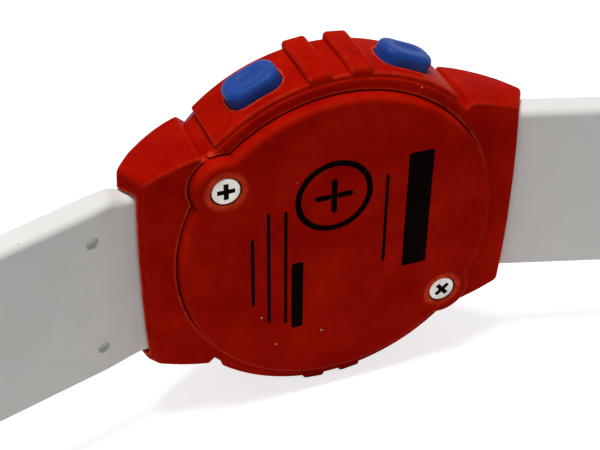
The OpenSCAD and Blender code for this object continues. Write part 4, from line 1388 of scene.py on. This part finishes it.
def make_tongue():
    outer = TONGUE_RISE + TONGUE_T
    roll = arc((0, 0), TONGUE_ROLL, 55, 325, 24)
    blade = rounded([
        (*roll[-1], 0), (TONGUE_RISE, -1.6, 0), (TONGUE_RISE, BUCKLE_LOW, 0.25),
        (outer - 0.1, BUCKLE_LOW, 0.35), (outer, -1.2, 0.8), (*roll[0], 0)], 5)
    outline = roll + blade[1:-1]
    body = soften(prism(outline, -TONGUE_HALF, TONGUE_HALF, "Z"), TONGUE_ROUND, segments=3, sharper_than=50)
    body = carve(body, hole_cutter(BAR_HOLE_R, (0, 0, 0), TONGUE_HOLE_LEN, "Z"))
    return shifted(body, buckle_bar.x, buckle_bar.y)


place("buckle_tongue_bent", make_tongue(), buckle_steel, "tongue", "buckle_metal", "buckle_tongue")

# %% [markdown]
# ### The keeper
# The keeper is a soft loop that slides on the short half and holds the other half's tip. It could be a
# square section swept round the strap. A block with a window is the same loop with fewer steps, and its
# place along the strap is read from the frame.

# %% Keeper loop
KEEPER_LEN = 5
KEEPER_WALL = 1.3
KEEPER_GAP = 0.3
KEEPER_ROUND = 0.4
keeper_low, keeper_high = (STAND.inverted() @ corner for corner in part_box("keeper_loop"))
keeper_y = (keeper_low.y + keeper_high.y) / 2


def keeper_outline(grow, radius):
    """The keeper's window, or its outside with a wall's thickness added."""
    in_x = buckle_bar.x - STRAP_T / 2 - KEEPER_GAP
    out_x = in_x + 2 * STRAP_T + 2 * KEEPER_GAP
    half = STRAP_HALF + KEEPER_GAP
    return rounded([(in_x - grow, -half - grow, radius), (out_x + grow, -half - grow, radius),
                    (out_x + grow, half + grow, radius), (in_x - grow, half + grow, radius)], 6)


def make_keeper():
    body = prism(keeper_outline(KEEPER_WALL, 1.4), -KEEPER_LEN / 2, KEEPER_LEN / 2, "Y")
    body = carve(body, prism(keeper_outline(0, 0.3), -KEEPER_LEN, KEEPER_LEN, "Y"))
    return shifted(soften(body, KEEPER_ROUND, segments=4, sharper_than=60), 0, keeper_y, 0)


place("keeper_band", make_keeper(), strap_rubber, "keeper", "strap", "keeper_loop")

# %% [markdown]
# ## The bezel
# The bezel is a blue ring that snaps into the front of the case. From behind only a sliver of it shows,
# past the case's upper left edge. An inset and bevelled disc would do, but a turned section also gives
# the snap ring below it.

# %% Bezel
LENS_TOP = 10.6
BEZEL_TOP = 11.1
BEZEL_IN = 12.4
BEZEL_R = 16.2
CREST_IN = 13.0
SNAP_IN = 14.3
SNAP_OUT = 15.2
SNAP_Y = 9


def make_bezel():
    profile = rounded([
        (BEZEL_IN, LENS_TOP, 0), (BEZEL_IN, BEZEL_TOP - 0.1, 0.1), (CREST_IN, BEZEL_TOP, 0.3),
        (SNAP_OUT, BEZEL_TOP, 0.5), (BEZEL_R, BEZEL_TOP - 1.0, 0.4), (BEZEL_R, SEAT_Y, 0.12),
        (SNAP_OUT, SEAT_Y, 0), (SNAP_OUT, SNAP_Y, 0), (SNAP_IN, SNAP_Y, 0), (SNAP_IN, SEAT_Y, 0),
        (LENS_SEAT_R, SEAT_Y, 0), (LENS_SEAT_R, LENS_TOP, 0)], 5)
    return turned(profile, FINE_TURN)


place("front_bezel_ring", make_bezel(), blue_plastic, "case", "blue_plastic", "front_bezel")

# %% [markdown]
# ### The lens
# The lens is a low dome with a flat rim under the bezel. A scaled half ball would be steep at its edge,
# so the section is a short arc of a very large circle, turned like the rest.

# %% Lens
DOME_R = 60
DOME_EDGE = 12.3
DOME_SINK = 0.02
LENS_R = 13.3
LENS_RIM_Y = 9.9


def make_lens():
    edge_angle = 90 - math.degrees(math.asin(DOME_EDGE / DOME_R))
    dome = [(p.x, p.y - DOME_SINK) for p in arc((0, LENS_TOP - DOME_R), DOME_R, 90, edge_angle, 10)]
    rim = [(LENS_R, LENS_RIM_Y), (LENS_R, LENS_SEAT_Y), (0, LENS_SEAT_Y)]
    return turned([(0, dome[0][1])] + dome[1:] + rim, FINE_TURN)


place("lens_dome", make_lens(), lens_clear, "case", "clear_lens", "lens")

# %% [markdown]
# ## Dial ticks
# Behind the lens, the printed dial has a thin ring and twelve ticks, the quarter hours a little wider. A
# texture could draw them, but flat shapes stay sharp through the lens. Each tick is one bar, turned to
# its hour.

# %% Dial ticks
PRINT_HALF = 0.03
TICK_IN = 9.6
TICK_OUT = 10.9
RING_R = 9.0
RING_EDGE = 9.15


def make_ticks():
    low, high = DIAL_Y - PRINT_HALF, DIAL_Y + PRINT_HALF
    ticks = []
    for hour in range(12):
        half = 0.32 if hour % 3 == 0 else 0.18
        outline = [(TICK_IN, -half), (TICK_OUT, -half), (TICK_OUT, half), (TICK_IN, half)]
        ticks.append(moved(prism(outline, low, high, "Y"), clock(30 * hour)))
    ring = [(RING_R, low), (RING_EDGE, low), (RING_EDGE, high), (RING_R, high)]
    return joined(turned(ring, FINE_TURN), *ticks)


place("dial_ticks", make_ticks(), dial_white, "case", "dial_print")

# %% [markdown]
# ## Display digits
# The display shows a time in plain seven-segment digits, with their top to 12 o'clock, read from 9
# o'clock to 3 o'clock. A text object would need a font. Seven bars with letters, and a list of which bars
# each digit lights, are how the real display works too.

# %% Display digits
LCD_Y = 8.5
SEGMENT_T = 0.5
DIGIT_H = 5.2
DIGIT_W = 2.5
SEGMENTS = {"0": "abcdef", "1": "bc", "2": "abged", "5": "afgcd"}
TIME = [("1", -5.2), ("0", -2.0), ("2", 2.0), ("5", 5.2)]
COLON_X = (-1.1, 1.1)
COLON_HALF = 0.3


def segment(letter):
    """One bar of a digit: low, high, left and right about the digit's middle."""
    h, w, t = DIGIT_H / 2, DIGIT_W / 2, SEGMENT_T / 2
    level = {"a": h - t, "g": 0, "d": t - h}
    if letter in level:
        return (level[letter] - t, level[letter] + t, 3 * t - w, w - 3 * t)
    side = w - t if letter in "bc" else t - w
    low, high = (t, h - 2 * t) if letter in "bf" else (2 * t - h, -t)
    return (low, high, side - t, side + t)


def make_digits():
    bars = []
    for digit, z in TIME:
        sizes = map(segment, SEGMENTS[digit])
        bars += [(low, high, z + left, z + right) for low, high, left, right in sizes]
    bars += [(x - COLON_HALF, x + COLON_HALF, -COLON_HALF, COLON_HALF) for x in COLON_X]
    outlines = [[(low, left), (high, left), (high, right), (low, right)] for low, high, left, right in bars]
    return joined(*[prism(outline, LCD_Y - PRINT_HALF, LCD_Y + PRINT_HALF, "Y") for outline in outlines])


place("display_digits", make_digits(), display_dark, "case", "display_glass")

# %% [markdown]
# ## The camera
# The camera stands where the photograph was taken. Its place could be found by eye, but a round plate and
# two screws of known size fix it: a circle seen at a slant is an ellipse of one shape only. So its place,
# its two axes and its focal length were worked out from those, and are given on the watch's own axes.

# %% Camera
CAMERA_PLACE = Vector((-38.1, -85.2, 72.3))
CAMERA_RIGHT = Vector((0.933, -0.361, 0.010))
CAMERA_UP = Vector((0.209, 0.563, 0.800))
FOCAL_PIXELS = 1231.9
IMAGE_WIDTH = 600
SENSOR = 36

camera_data = bpy.data.cameras.new("camera")
camera_data.sensor_width = SENSOR
camera_data.lens = FOCAL_PIXELS / IMAGE_WIDTH * SENSOR
camera_data.clip_start = 0.001
camera = bpy.data.objects.new("camera", camera_data)
bpy.context.scene.collection.objects.link(camera)
right = CAMERA_RIGHT.normalized()
up = (CAMERA_UP - right * CAMERA_UP.dot(right)).normalized()
axes = Matrix((right, up, right.cross(up))).transposed().to_4x4()
camera.matrix_world = Matrix.Translation(STAND @ CAMERA_PLACE) @ TILT @ axes
bpy.context.scene.camera = camera
camera_spot = [round(c, 4) for c in camera.matrix_world.translation]
print(f"lens {camera_data.lens:.1f} mm, camera at {camera_spot}")

# %% [markdown]
# ## The floor
# The watch stands on a white table that runs into a white background. A brighter lamp would whiten the
# floor but wash out the watch. So the floor is pale grey with a glow that only the camera, reflections
# and clear glass see: it looks white, and it still takes the watch's soft shadow.

# %% Floor
FLOOR_HALF = 3
FLOOR_GAP = 0.0001
FLOOR_GREY = 0.7
FLOOR_GLOW = 0.74

floor_mesh = bmesh.new()
bmesh.ops.create_grid(floor_mesh, x_segments=1, y_segments=1, size=FLOOR_HALF)
low_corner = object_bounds()[0]
shifted(floor_mesh, 0, 0, low_corner[2] - FLOOR_GAP)
floor = as_object("floor", floor_mesh)


def is_seen(tree):
    """One where a ray comes from the camera, a reflection or clear glass."""
    path = tree.nodes.new("ShaderNodeLightPath").outputs
    direct = add_math(tree, "MAXIMUM", path["Is Camera Ray"], path["Is Glossy Ray"])
    return add_math(tree, "MAXIMUM", direct, path["Is Transmission Ray"])


def make_floor_white():
    material, tree, shader = new_material("floor_white")
    shader.inputs["Base Color"].default_value = (FLOOR_GREY, FLOOR_GREY, FLOOR_GREY, 1)
    shader.inputs["Roughness"].default_value = 0.9
    shader.inputs["Specular IOR Level"].default_value = 0
    glow = tree.nodes.new("ShaderNodeEmission")
    glow.inputs["Strength"].default_value = FLOOR_GLOW
    none = tree.nodes.new("ShaderNodeEmission")
    none.inputs["Strength"].default_value = 0
    seen = tree.nodes.new("ShaderNodeMixShader")
    both = tree.nodes.new("ShaderNodeAddShader")
    wire(tree, is_seen(tree), seen.inputs[0])
    wire(tree, none.outputs[0], seen.inputs[1])
    wire(tree, glow.outputs[0], seen.inputs[2])
    wire(tree, shader.outputs[0], both.inputs[0])
    wire(tree, seen.outputs[0], both.inputs[1])
    wire(tree, both.outputs[0], tree.nodes["Material Output"].inputs["Surface"])
    return material


floor.data.materials.append(make_floor_white())
print(f"floor at {low_corner[2] - FLOOR_GAP:.4f} m")

# %% [markdown]
# ## The light
# The photograph has one soft light from above and a bright room around it. Several lamps could copy the
# room, but each would add a shadow and a highlight. One square lamp above the watch and an even, dim
# surround keep the shading plain, at a level at which a colour renders about as it is written.

# %% Light
AMBIENT = 0.185
WHITE = (1, 1, 1, 1)
KEY_PLACE = (-0.06, -0.05, 0.45)
KEY_SIZE = 0.16
KEY_ENERGY = 1.6


def make_world():
    world = bpy.data.worlds.new("studio")
    bpy.context.scene.world = world
    world.use_nodes = True
    tree = world.node_tree
    soft = tree.nodes["Background"]
    soft.inputs["Strength"].default_value = AMBIENT
    soft.inputs["Color"].default_value = WHITE
    white = tree.nodes.new("ShaderNodeBackground")
    white.inputs["Strength"].default_value = 1
    white.inputs["Color"].default_value = WHITE
    mix = tree.nodes.new("ShaderNodeMixShader")
    wire(tree, is_seen(tree), mix.inputs[0])
    wire(tree, soft.outputs[0], mix.inputs[1])
    wire(tree, white.outputs[0], mix.inputs[2])
    wire(tree, mix.outputs[0], tree.nodes["World Output"].inputs["Surface"])


def add_lamp(name, place_m, size, energy):
    """A square lamp that faces the middle of the watch."""
    data = bpy.data.lights.new(name, "AREA")
    data.size = size
    data.energy = energy
    lamp = bpy.data.objects.new(name, data)
    bpy.context.scene.collection.objects.link(lamp)
    facing = (-Vector(place_m)).to_track_quat("-Z", "Y").to_matrix().to_4x4()
    lamp.matrix_world = Matrix.Translation(place_m) @ facing


make_world()
add_lamp("key_above", KEY_PLACE, KEY_SIZE, KEY_ENERGY)
bpy.context.scene.view_settings.view_transform = "Standard"
print(f"surround {AMBIENT}, lamp of {KEY_ENERGY} W at {KEY_PLACE}")
